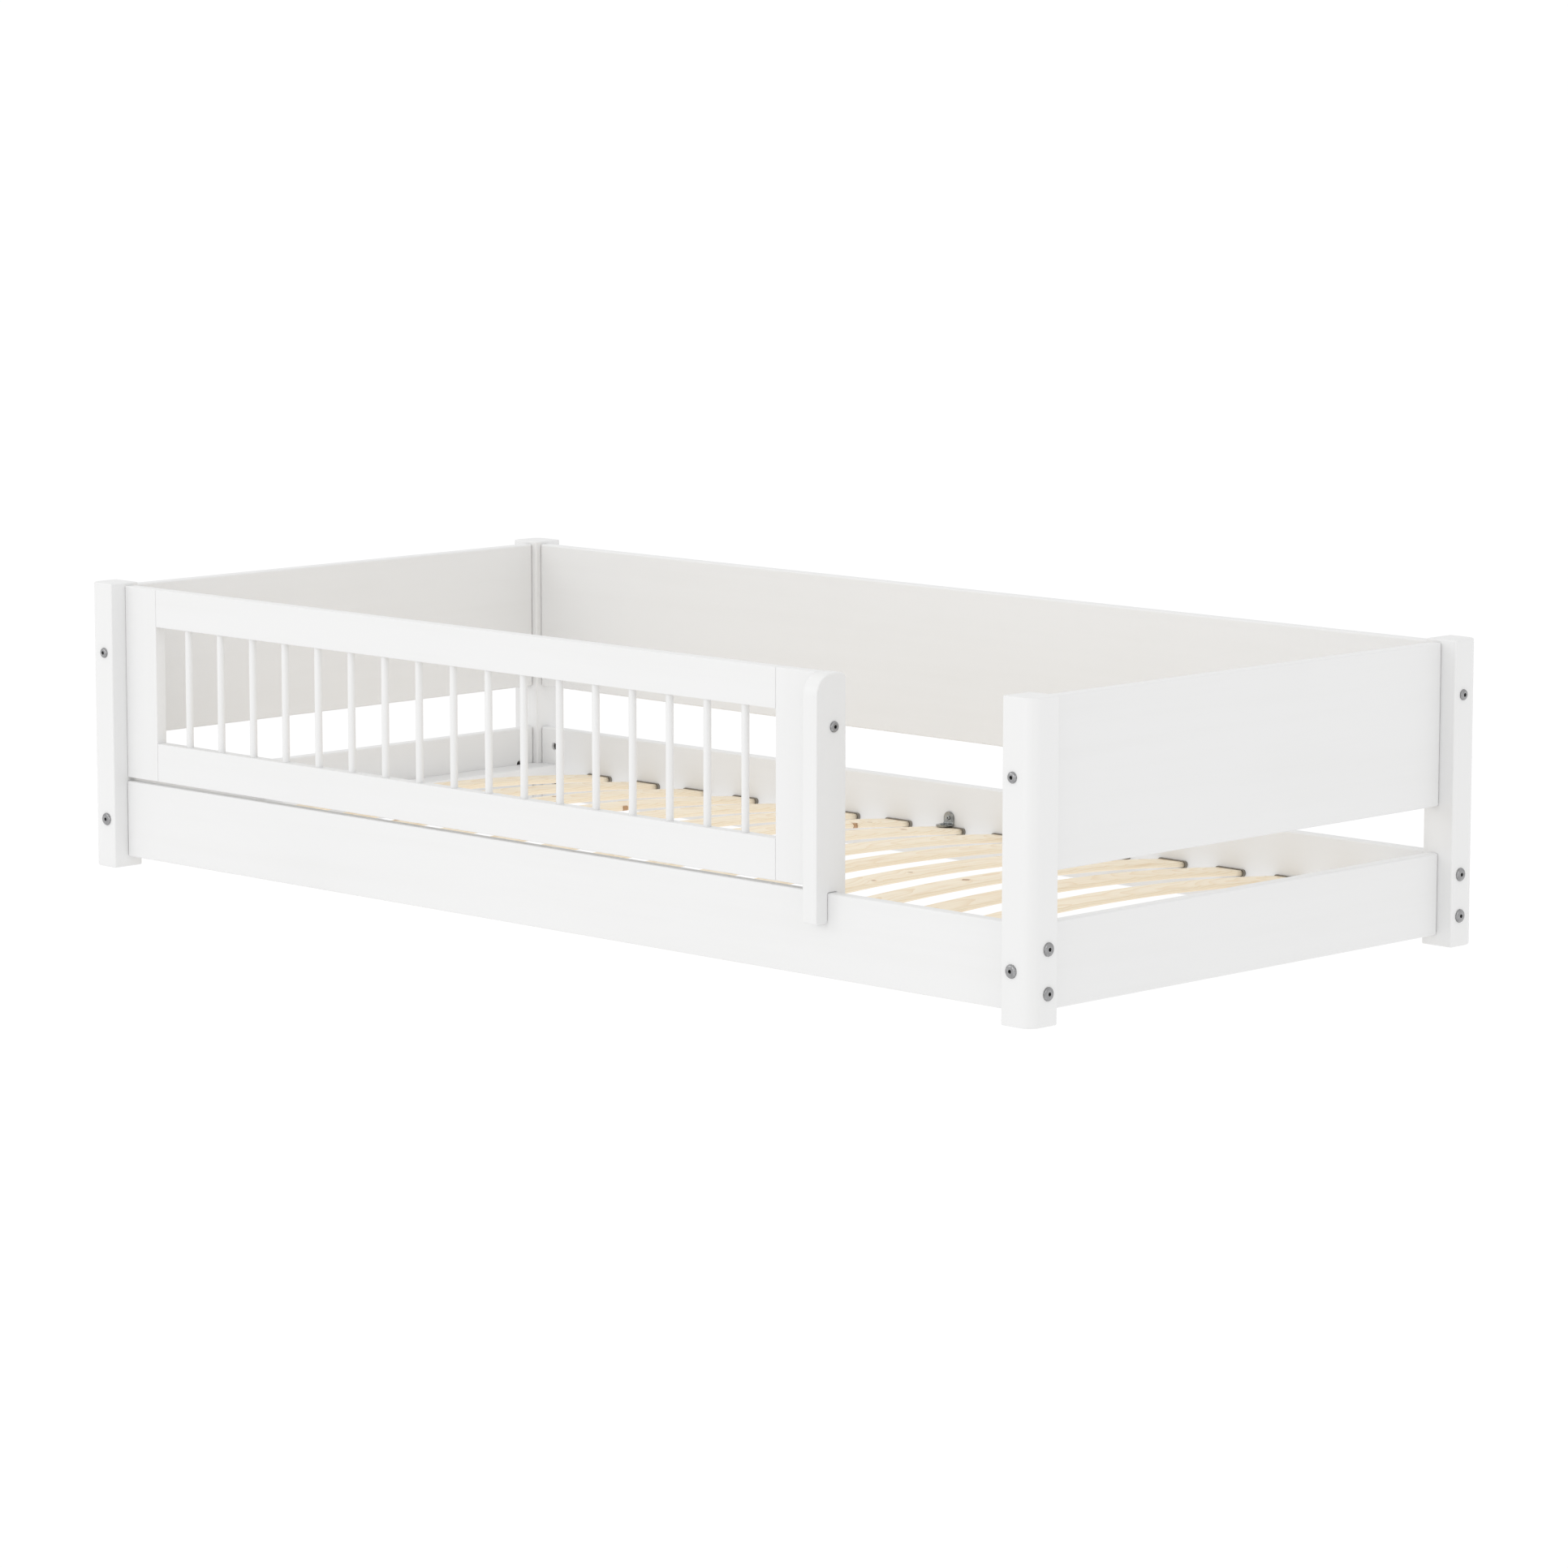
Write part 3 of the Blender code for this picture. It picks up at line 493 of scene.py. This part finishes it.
low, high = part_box("back_panel")
panel = addBoard("BackPanel", (-boardEndX, low.y, low.z), (boardEndX, high.y, high.z), boards["edge"], "X")
handOver(panel, "white_paint", "back_panel")

for across in ("left", "right"):
    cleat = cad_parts["end_cleat_" + across]
    cleat.data.materials.clear()
    cleat.data.materials.append(paintAlong["Y"])
print("rails and panels made")


guard = {
    "edge": 0.0013,
    "seam": 0.0004,
    "bottomRail": 0.0631,               # height of the rail under the spindles
    "spindles": 17,
    "spindlePitch": 0.0803,
    "spindleRadius": 0.006,
    "tenon": 0.008,
    "spindleSides": 28,
}
support = {
    "headFront": 0.032,                 # radii of the outline
    "headBack": 0.012,
    "tip": 0.005,
    "slot": 0.0032,
    "slotGap": 0.0004,                  # between the slot and the rail in it
    "edge": 0.002,
}

supportLow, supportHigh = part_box("guard_support")
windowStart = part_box("guard_stile_left")[1].x
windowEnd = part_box("guard_stile_right")[0].x
stiles = {
    "left": (-boardEndX, windowStart),
    "right": (windowEnd, supportLow.x - guard["seam"]),
}
for across, (start, end) in stiles.items():
    node = "guard_stile_" + across
    low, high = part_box(node)
    name = "GuardStile" + across.capitalize()
    stile = addBoard(name, (start, low.y, low.z), (end, high.y, high.z), guard["edge"], "Z")
    handOver(stile, "white_paint", node)

low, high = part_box("guard_top_rail")
rail = addBoard("GuardTopRail", (windowStart + guard["seam"], low.y, low.z),
                (windowEnd - guard["seam"], high.y, high.z), guard["edge"], "X")
handOver(rail, "white_paint", "guard_top_rail")
windowTop = low.z
low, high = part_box("guard_bottom_rail_with_spindles")
windowBottom = low.z + guard["bottomRail"]
rail = addBoard("GuardBottomRail", (windowStart + guard["seam"], low.y, low.z),
                (windowEnd - guard["seam"], high.y, windowBottom), guard["edge"], "X")
handOver(rail, "white_paint", "guard_bottom_rail_with_spindles")


class GeometryTree(Tree):
    # a Geometry Nodes tree with named inputs
    def __init__(self, name, inputs):
        group = bpy.data.node_groups.new(name, "GeometryNodeTree")
        super().__init__(group)
        self.identifiers = {}
        group.interface.new_socket("Geometry", in_out="INPUT", socket_type="NodeSocketGeometry")
        for label, kind in inputs.items():
            made = group.interface.new_socket(label, in_out="INPUT", socket_type="NodeSocket" + kind)
            self.identifiers[label] = made.identifier
        group.interface.new_socket("Geometry", in_out="OUTPUT", socket_type="NodeSocketGeometry")
        self.inputNode = group.nodes.new("NodeGroupInput")
        self.outputNode = group.nodes.new("NodeGroupOutput")

    def given(self, label):
        return Value(self, self.inputNode.outputs[label])

    def finish(self, geometry):
        real = self.node("GeometryNodeRealizeInstances", None, {"Geometry": geometry})
        smooth = self.node("GeometryNodeSetShadeSmooth", None, {"Geometry": real})
        inputs = {"Geometry": smooth, "Material": self.given("Material")}
        painted = self.node("GeometryNodeSetMaterial", None, inputs)
        self.tree.links.new(painted.socket, self.outputNode.inputs[0])

    def useOn(self, piece, values):
        modifier = piece.modifiers.new(self.tree.name, "NODES")
        modifier.node_group = self.tree
        for label, value in values.items():
            modifier[self.identifiers[label]] = value


def emptyPiece(name, material):
    return addPiece(name, bmesh.new(), material)


def spindleTree():
    inputs = {
        "Count": "Int",
        "Pitch": "Float",
        "Radius": "Float",
        "Length": "Float",
        "Sides": "Int",
        "Start": "Vector",
        "Material": "Material",
    }
    tree = GeometryTree("spindleRow", inputs)
    step = tree.combine(tree.given("Pitch"), 0.0, 0.0)
    line = {"Count": tree.given("Count"), "Start Location": tree.given("Start"), "Offset": step}
    row = tree.node("GeometryNodeMeshLine", None, line)
    sizes = {"Vertices": tree.given("Sides"), "Radius": tree.given("Radius"), "Depth": tree.given("Length")}
    rod = tree.node("GeometryNodeMeshCylinder", {"fill_type": "NGON"}, sizes)
    copies = tree.node("GeometryNodeInstanceOnPoints", None, {"Points": row, "Instance": rod})
    tree.finish(copies)
    return tree


spindles = emptyPiece("GuardSpindles", paintAlong["Z"])
windowMiddle = (windowStart + windowEnd) / 2
firstSpindle = windowMiddle - (guard["spindles"] - 1) / 2 * guard["spindlePitch"]
spindleTree().useOn(spindles, {
    "Count": guard["spindles"],
    "Pitch": guard["spindlePitch"],
    "Radius": guard["spindleRadius"],
    "Length": windowTop - windowBottom + 2 * guard["tenon"],
    "Sides": guard["spindleSides"],
    "Start": (firstSpindle, (low.y + high.y) / 2, (windowBottom + windowTop) / 2),
    "Material": paintAlong["Z"],
})
spindles.modifiers.new("flatFaces", "WEIGHTED_NORMAL")
handOver(settle(spindles), "white_paint", "guard_bottom_rail_with_spindles")

railLow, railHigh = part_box("side_rail_front")
front, back = supportLow.y, supportHigh.y
foot, crown = supportLow.z, supportHigh.z
slotFront = railLow.y - support["slotGap"]
slotBack = railHigh.y + support["slotGap"]
slotTop = railHigh.z + support["slotGap"]
head = support["headBack"]
outline = arc(back - head, crown - head, head, 0, pi / 2, 6)
head = support["headFront"]
outline += arc(front + head, crown - head, head, pi / 2, pi, 12)
tip = support["tip"]
outline += arc(front + tip, foot + tip, tip, pi, 1.5 * pi, 5)
outline += arc(slotFront - tip, foot + tip, tip, 1.5 * pi, 2 * pi, 5)
corner = support["slot"]
outline += arc(slotFront + corner, slotTop - corner, corner, pi, pi / 2, 4)
outline += arc(slotBack - corner, slotTop - corner, corner, pi / 2, 0, 4)
outline += [(slotBack, foot), (back, foot)]
bm = bmesh.new()
loft(bm, [[(x, y, z) for y, z in outline] for x in (supportLow.x, supportHigh.x)])
upright = addPiece("GuardSupport", bm, paintAlong["Z"])
handOver(ease(upright, support["edge"]), "white_paint", "guard_support")
print("guard made")


slat = {
    "count": 15,
    "pitch": 0.1204,
    "width": 0.055,
    "thickness": 0.0085,
    "round": 0.0036,                    # radius of the long edges
    "roundSteps": 5,
    "bow": 0.0239,
    "endHeight": 0.0662,                # middle of a slat at the rail
    "intoRail": 0.002,
    "steps": 40,
    "seed": 11,
}
cap = {
    "sideWall": 0.0028,
    "topWall": 0.0018,
    "proud": 0.004,                     # how far a cap stands out of the rail
    "sunk": 0.003,
    "lip": 0.0005,
    "edgeSteps": 7,
}
slatNodes = [f"slat_{number:02d}" for number in range(1, slat["count"] + 1)]


def slatTree():
    inputs = {
        "Count": "Int",
        "Pitch": "Float",
        "Width": "Float",
        "Thickness": "Float",
        "Round": "Float",
        "Bow": "Float",
        "Rail": "Float",
        "Reach": "Float",
        "End Height": "Float",
        "Steps": "Int",
        "Seed": "Int",
        "Material": "Material",
    }
    tree = GeometryTree("slatRow", inputs)
    reach = tree.given("Reach")
    start = tree.combine(0.0, 0.0 - reach, 0.0)
    end = tree.combine(0.0, reach, 0.0)
    line = tree.node("GeometryNodeCurvePrimitiveLine", None, {"Start": start, "End": end})
    line = tree.node("GeometryNodeResampleCurve", None, {"Curve": line, "Count": tree.given("Steps")})
    y = tree.separate(tree.node("GeometryNodeInputPosition"))[1]
    share = y / tree.given("Rail")
    lift = tree.given("End Height") + tree.given("Bow") * (1.0 - share * share)
    offset = tree.combine(0.0, 0.0, lift)
    line = tree.node("GeometryNodeSetPosition", None, {"Geometry": line, "Offset": offset})
    line = tree.node("GeometryNodeSetCurveNormal", {"mode": "Z_UP"}, {"Curve": line})
    section = tree.node("GeometryNodeCurvePrimitiveQuadrilateral", None,
                        {"Width": tree.given("Width"), "Height": tree.given("Thickness")})
    section = tree.node("GeometryNodeFilletCurve", {"mode": "POLY"},
                        {"Curve": section, "Count": slat["roundSteps"], "Radius": tree.given("Round")})
    inputs = {"Curve": line, "Profile Curve": section, "Fill Caps": True}
    bar = tree.node("GeometryNodeCurveToMesh", None, inputs)
    bar = tree.node("GeometryNodeStoreNamedAttribute", {"data_type": "FLOAT_VECTOR", "domain": "POINT"},
                    {"Geometry": bar, "Name": "grain", "Value": tree.node("GeometryNodeInputPosition")})
    pitch = tree.given("Pitch")
    first = (1 - tree.given("Count")) * pitch * 0.5
    row = tree.node("GeometryNodeMeshLine", None,
                    {"Count": tree.given("Count"), "Start Location": tree.combine(first, 0.0, 0.0),
                     "Offset": tree.combine(pitch, 0.0, 0.0)})
    copies = tree.node("GeometryNodeInstanceOnPoints", None, {"Points": row, "Instance": bar})
    chance = tree.node("FunctionNodeRandomValue", {"data_type": "FLOAT_VECTOR"},
                       {"ID": tree.node("GeometryNodeInputIndex"), "Seed": tree.given("Seed")})
    settings = {"data_type": "FLOAT_VECTOR", "domain": "INSTANCE"}
    inputs = {"Geometry": copies, "Name": "tree", "Value": chance}
    copies = tree.node("GeometryNodeStoreNamedAttribute", settings, inputs)
    tree.finish(copies)
    return tree


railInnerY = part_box("side_rail_back")[0].y
slats = emptyPiece("Slats", barePine)
slatTree().useOn(slats, {
    "Count": slat["count"],
    "Pitch": slat["pitch"],
    "Width": slat["width"],
    "Thickness": slat["thickness"],
    "Round": slat["round"],
    "Bow": slat["bow"],
    "Rail": railInnerY,
    "Reach": railInnerY + slat["intoRail"],
    "End Height": slat["endHeight"],
    "Steps": slat["steps"],
    "Seed": slat["seed"],
    "Material": barePine,
})
slats.modifiers.new("flatFaces", "WEIGHTED_NORMAL")
settle(slats)
handOver(slats, "pine", *slatNodes)


def copyTree():
    # puts a copy of one part on every point, turned as its "turn" attribute says
    inputs = {"Part": "Object", "Spin": "Float", "Seed": "Int", "Material": "Material"}
    tree = GeometryTree("partCopies", inputs)
    part = tree.node("GeometryNodeObjectInfo", None, {"Object": tree.given("Part")}, "Geometry")
    turn = tree.node("GeometryNodeInputNamedAttribute", {"data_type": "FLOAT_VECTOR"}, {"Name": "turn"})
    rotation = tree.node("FunctionNodeEulerToRotation", None, {0: turn})
    copies = tree.node("GeometryNodeInstanceOnPoints", None,
                       {"Points": tree.given("Geometry"), "Instance": part, "Rotation": rotation})
    chance = tree.node("FunctionNodeRandomValue", {"data_type": "FLOAT"},
                       {2: 0.0, 3: tree.given("Spin"), "ID": tree.node("GeometryNodeInputIndex"),
                        "Seed": tree.given("Seed")}, 1)
    spin = tree.node("FunctionNodeEulerToRotation", None, {0: tree.combine(0.0, 0.0, chance)})
    copies = tree.node("GeometryNodeRotateInstances", None, {"Instances": copies, "Rotation": spin})
    tree.finish(copies)
    return tree


partCopies = copyTree()


def addCopies(name, part, places, material, spin=0.0, seed=3):
    # places are (point, turn as Euler angles); the part itself is used up
    points = bmesh.new()
    layer = points.verts.layers.float_vector.new("turn")
    for point, turn in places:
        points.verts.new(point)[layer] = turn
    piece = addPiece(name, points, material)
    partCopies.useOn(piece, {"Part": part, "Spin": spin, "Seed": seed, "Material": material})
    settle(piece)
    bpy.data.objects.remove(part)
    return piece


def roundedBar(halfWidth, halfHeight, radius, y):
    # outline of a flat bar with round edges, across Y
    x, z = halfWidth - radius, halfHeight - radius
    ring = []
    for quarter, (sideX, sideZ) in enumerate(((1, 1), (-1, 1), (-1, -1), (1, -1))):
        start = quarter * pi / 2
        ring += arc(sideX * x, sideZ * z, radius, start, start + pi / 2, cap["edgeSteps"])
    return [(a, y, b) for a, b in ring]


def capShape():
    # a collar round the slat's end; Y runs into the rail
    width, height = slat["width"] / 2, slat["thickness"] / 2
    inner = slat["round"]
    side, top, lip = cap["sideWall"], cap["topWall"], cap["lip"]
    depth = cap["proud"] + cap["sunk"]
    outer = (width + side, height + top, inner + top)
    eased = (width + side - lip, height + top - lip, inner + top - lip)
    mouth = (width + lip, height + lip, inner + lip)
    bm = bmesh.new()
    loft(bm, [roundedBar(*outer, depth), roundedBar(*outer, lip), roundedBar(*eased, 0.0),
              roundedBar(*mouth, 0.0), roundedBar(width, height, inner, lip),
              roundedBar(width, height, inner, depth)], closed=True)
    part = addPiece("capPart", bm, capPlastic)
    part.modifiers.new("flatFaces", "WEIGHTED_NORMAL")
    return settle(part)


mouthY = railInnerY - cap["proud"]
mouthHeight = slat["endHeight"] + slat["bow"] * (1 - (mouthY / railInnerY) ** 2)
slatPlaces = [(number - (slat["count"] - 1) / 2) * slat["pitch"] for number in range(slat["count"])]
capPlaces = [((x, side * mouthY, mouthHeight), (0.0, 0.0, 0.0 if side > 0 else pi))
             for x in slatPlaces for side in (-1, 1)]
caps = addCopies("SlatCaps", capShape(), capPlaces, capPlastic)
handOver(caps, "pine", *slatNodes)
print("slats and caps made")


bracket = {
    "thickness": 0.003,
    "foot": 0.028,
    "bend": 0.0062,                     # outer radius of the bend
    "tipSteps": 10,
    "tipStart": 0.35,                   # share of a step where the blunt tip starts
    "bendSteps": 6,
    "edge": 0.0005,
}


def bracketShape(name, side, material):
    # one strip from the tip of the leg, round the bend to the tip of the foot
    low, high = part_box(f"slat_bracket_{name}")
    wall = high.y if side > 0 else low.y
    x = (low.x + high.x) / 2
    radius = (high.x - low.x) / 2
    bend = bracket["bend"]
    stations = []                       # (half width, distance from the wall, height, lean)
    for i in range(bracket["tipSteps"]):
        a = pi / 2 * (i + bracket["tipStart"]) / bracket["tipSteps"]
        stations.append((radius * sin(a), 0.0, high.z - radius + radius * cos(a), 0.0))
    for i in range(bracket["bendSteps"] + 1):
        a = pi / 2 * i / bracket["bendSteps"]
        stations.append((radius, bend - bend * cos(a), low.z + bend - bend * sin(a), a))
    for i in range(bracket["tipSteps"] - 1, -1, -1):
        a = pi / 2 * (i + bracket["tipStart"]) / bracket["tipSteps"]
        stations.append((radius * sin(a), bracket["foot"] - radius + radius * cos(a), low.z, pi / 2))
    rings = []
    for half, out, height, lean in stations:
        inOut = bracket["thickness"] * cos(lean)
        inUp = bracket["thickness"] * sin(lean)
        near = [(x + s * half, wall - side * out, height) for s in (-1, 1)]
        far = [(x + s * half, wall - side * (out + inOut), height + inUp) for s in (1, -1)]
        rings.append(near + far)
    bm = bmesh.new()
    loft(bm, rings)
    piece = addPiece("Bracket" + name.capitalize(), bm, material)
    ease(piece, bracket["edge"])
    handOver(piece, "zinc_plate", f"slat_bracket_{name}")


for side, name in ((-1, "front"), (1, "back")):
    bracketShape(name, side, bracketZinc)
print("brackets made")


bolt = {
    "railHead": 0.0102,                 # radii
    "panelHead": 0.0083,
    "sides": 36,
    "height": 0.0035,
    "rim": 0.0012,                      # straight side of the head
    "crown": 0.48,                      # flat top as a share of the head
    "domeSteps": 6,
    "socket": 0.0025,                   # half the key size
    "socketDepth": 0.0030,
    "easing": 0.0003,                   # at the rim
    "mouth": (1.35, 1.22),              # outer and inner radius of the socket's bevel, in sockets
    "mouthDrop": 0.0002,
    "keyDrop": 0.0005,
    "sharpWithin": 1.15,                # in sockets
}


def hexagon(size):
    return lambda a: size / cos((a % (pi / 3)) - pi / 6)


def cross(length, width):
    return lambda a: min(length / max(abs(cos(2 * round(a / (pi / 2)) * pi / 4 - a)), 1e-3),
                         width / max(abs(sin(2 * round(a / (pi / 2)) * pi / 4 - a)), 1e-3))


def slot(length, width):
    return lambda a: min(length / max(abs(cos(a)), 1e-3), width / max(abs(sin(a)), 1e-3))


def facing(way):
    return tuple(Vector(way).to_track_quat("Z", "Y").to_euler())


def turned(name, rings, material):
    # rings are (radius or radius by angle, height), from the edge over the top to the middle
    sides = bolt["sides"]
    bm = bmesh.new()
    made = []
    for radius, height in rings:
        ring = []
        for i in range(sides):
            a = 2 * pi * i / sides
            r = radius(a) if callable(radius) else radius
            ring.append((r * cos(a), r * sin(a), height))
        made.append(ring)
    loft(bm, made)
    part = addPiece(name, bm, material)
    # the last two rings are the key hole; "recess" marks them for painted shade
    recess = part.data.attributes.new("recess", "FLOAT", "POINT")
    for i, value in enumerate(recess.data):
        value.value = 1.0 if i // sides >= len(rings) - 2 else 0.0
    sharp = part.data.attributes.new("sharp_edge", "BOOLEAN", "EDGE")
    for edge in part.data.edges:
        a, b = (part.data.vertices[i].co for i in edge.vertices)
        flat = abs(a.z - b.z) < 1e-6
        sharp.data[edge.index].value = flat and a.xy.length < bolt["sharpWithin"] * bolt["socket"]
    part.modifiers.new("flatFaces", "WEIGHTED_NORMAL").keep_sharp = True
    return settle(part)


def boltShape(name, radius):
    top, rim, eased = bolt["height"], bolt["rim"], bolt["easing"]
    crown = radius * bolt["crown"]
    shoulder = radius - eased
    rings = [(radius, 0.0), (radius, rim - eased)]
    for i in range(bolt["domeSteps"] + 1):
        a = pi / 2 * i / bolt["domeSteps"]
        rings.append((crown + (shoulder - crown) * cos(a), rim + (top - rim) * sin(a)))
    outer, inner = bolt["mouth"]
    rings += [(bolt["socket"] * outer, top), (bolt["socket"] * inner, top - bolt["mouthDrop"])]
    key = hexagon(bolt["socket"])
    rings += [(key, top - bolt["keyDrop"]), (key, top - bolt["socketDepth"])]
    return turned(name, rings, boltSteel)


outwards = {
    "side_rail_bolt": "X",
    "end_rail_bolt": "Y",
    "end_panel_bolt": "Y",
    "back_panel_bolt": "X",
    "guard_bolt": "X",
}


def boltPlace(node):
    # (point under the head, turn): the head looks away from the middle of the bed
    low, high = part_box(node)
    middle = (low + high) / 2
    axis = next(letter for start, letter in outwards.items() if node.startswith(start))
    way = Vector((0.0, 0.0, 0.0))
    index = "XYZ".index(axis)
    way[index] = 1.0 if middle[index] > 0 else -1.0
    middle[index] = (high if way[index] > 0 else low)[index] - way[index] * bolt["height"]
    return tuple(middle), facing(way)


def nodesNamed(*starts):
    return [node for node in sorted(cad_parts) if node.startswith(starts)]


bigNodes = nodesNamed("side_rail_bolt", "end_rail_bolt")
boltKinds = {                           # name: (nodes, radius of the head, seed)
    "RailBolts": (bigNodes, bolt["railHead"], 5),
    "PanelBolts": (nodesNamed("end_panel_bolt", "back_panel_bolt", "guard_bolt"), bolt["panelHead"], 8),
}
for name, (nodes, radius, seed) in boltKinds.items():
    part = boltShape(name + "Part", radius)
    places = [boltPlace(node) for node in nodes]
    handOver(addCopies(name, part, places, boltSteel, pi / 3, seed), "bolt_steel", *nodes)

nut = {
    "radius": 0.006,
    "recess": 0.004,                    # its face below the face of the rail
    "length": 0.010,
    "easing": 0.0006,
    "face": 0.0046,                     # radius of the flat round the slot
    "slotLength": 0.0040,
    "slotWidth": 0.0008,
    "slotTop": 0.0002,
    "slotDepth": 0.0016,
}
groove = slot(nut["slotLength"], nut["slotWidth"])
rings = [(nut["radius"], -nut["length"]), (nut["radius"], -nut["easing"])]
rings += [(nut["radius"] - nut["easing"], 0.0), (nut["face"], 0.0)]
rings += [(groove, -nut["slotTop"]), (groove, -nut["slotDepth"])]
part = turned("nutPart", rings, nutSteel)
places = [(tuple(Vector(point) - Vector(way) * nut["recess"]), facing(way)) for point, way in nutPlaces]
nuts = addCopies("BarrelNuts", part, places, nutSteel, pi, 2)
handOver(nuts, "bolt_steel", *bigNodes)

screw = {
    "radius": 0.0038,
    "height": 0.0018,
    "rim": 0.0003,
    "crown": 0.55,                      # flat top as a share of the head
    "domeSteps": 5,
    "crossLength": 0.0016,
    "crossWidth": 0.0004,
    "crossDepth": 0.0009,
}


def screwShape():
    radius, height, rim, crown = screw["radius"], screw["height"], screw["rim"], screw["crown"]
    rings = [(radius, 0.0), (radius, rim)]
    for i in range(screw["domeSteps"]):
        a = pi / 2 * (i + 1) / screw["domeSteps"]
        rings.append((radius * (crown + (1 - crown) * cos(a)), rim + (height - rim) * sin(a)))
    key = cross(screw["crossLength"], screw["crossWidth"])
    rings += [(key, height), (key, height - screw["crossDepth"])]
    return turned("screwPart", rings, bracketZinc)


places = []
screwNodes = []
for side, name in ((-1, "front"), (1, "back")):
    wall = f"bracket_rail_screw_{name}"
    low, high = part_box(wall)
    face = low.y if side > 0 else high.y
    place = ((low.x + high.x) / 2, face + side * screw["height"], (low.z + high.z) / 2)
    places.append((place, facing((0, -side, 0))))
    foot = f"bracket_slat_screw_{name}"
    low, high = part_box(foot)
    place = ((low.x + high.x) / 2, (low.y + high.y) / 2, high.z - screw["height"])
    places.append((place, (0.0, 0.0, 0.0)))
    screwNodes += [wall, foot]
screws = addCopies("BracketScrews", screwShape(), places, bracketZinc, pi / 2, 6)
handOver(screws, "zinc_plate", *screwNodes)
print("bolts, nuts and screws made")


studio = {
    "sky": 0.905,
    "floorShade": 0.05,
    "floorGlow": 0.98,
    "floorSize": 300.0,
    "floorRoughness": 0.9,
    # name: (place, aim, size, watts)
    "lamps": {
        "Top": ((-0.2, -0.3, 6.0), (0.0, 0.0, 0.2), 1.2, 15.5),
        "FrontLeft": ((-3.2, -5.0, 2.4), (0.0, 0.0, 0.2), 3.0, 25.2),
        "Front": ((0.5, -6.0, 1.6), (0.0, 0.0, 0.2), 3.0, 32.0),
        "Right": ((5.5, -1.5, 2.4), (0.0, 0.0, 0.2), 3.0, 19.2),
        "TopLeft": ((-4.0, -0.5, 4.0), (0.0, 0.0, 0.2), 3.0, 11.6),
    },
}


def addFloor():
    shade = (studio["floorShade"],) * 3
    finish = Finish("paleFloor", shade, studio["floorRoughness"], Emission_Strength=studio["floorGlow"],
                    Specular_IOR_Level=0.0)
    finish.shader.inputs["Emission Color"].default_value = (1.0, 1.0, 1.0, 1.0)
    bm = bmesh.new()
    bmesh.ops.create_grid(bm, x_segments=1, y_segments=1, size=studio["floorSize"])
    addPiece("Floor", bm, finish.material)


def addLamp(name, place, aim, size, power):
    light = bpy.data.lights.new(name, "AREA")
    light.shape = "DISK"
    light.size = size
    light.energy = power
    lamp = bpy.data.objects.new(name, light)
    lamp.location = place
    lamp.rotation_euler = (Vector(aim) - Vector(place)).to_track_quat("-Z", "Y").to_euler()
    bpy.context.scene.collection.objects.link(lamp)


def addSky():
    world = bpy.data.worlds.new("Studio")
    world.use_nodes = True
    background = world.node_tree.nodes["Background"]
    background.inputs["Color"].default_value = (1.0, 1.0, 1.0, 1.0)
    background.inputs["Strength"].default_value = studio["sky"]
    bpy.context.scene.world = world


view = {
    "lens": 134.23,
    "sensor": 36.0,
    "reach": 400.0,
    "azimuth": 44.6545,
    "elevation": 8.3165,
    "roll": 0.0453,
    "distance": 9.2985,
    "aimHeight": 0.25,
    "aimRight": 0.0444,
    "aimUp": -0.0584,
}


def addCamera():
    azimuth, elevation = radians(view["azimuth"]), radians(view["elevation"])
    back = Vector((sin(azimuth) * cos(elevation), -cos(azimuth) * cos(elevation), sin(elevation)))
    right = Vector((cos(azimuth), sin(azimuth), 0.0))
    up = back.cross(right)
    aim = Vector((0.0, 0.0, view["aimHeight"])) + right * view["aimRight"] + up * view["aimUp"]
    roll = radians(view["roll"])
    turnedRight = right * cos(roll) + up * sin(roll)
    turnedUp = up * cos(roll) - right * sin(roll)
    camera = bpy.data.cameras.new("Camera")
    camera.lens = view["lens"]
    camera.sensor_width = view["sensor"]
    camera.clip_end = view["reach"]
    holder = bpy.data.objects.new("Camera", camera)
    turn = Matrix((turnedRight, turnedUp, back)).transposed().to_4x4()
    holder.matrix_world = Matrix.Translation(aim + back * view["distance"]) @ turn
    bpy.context.scene.collection.objects.link(holder)
    bpy.context.scene.camera = holder


addFloor()
addSky()
for name, lamp in studio["lamps"].items():
    addLamp(name, *lamp)
bpy.context.scene.view_settings.view_transform = "Standard"
addCamera()
print("studio made")
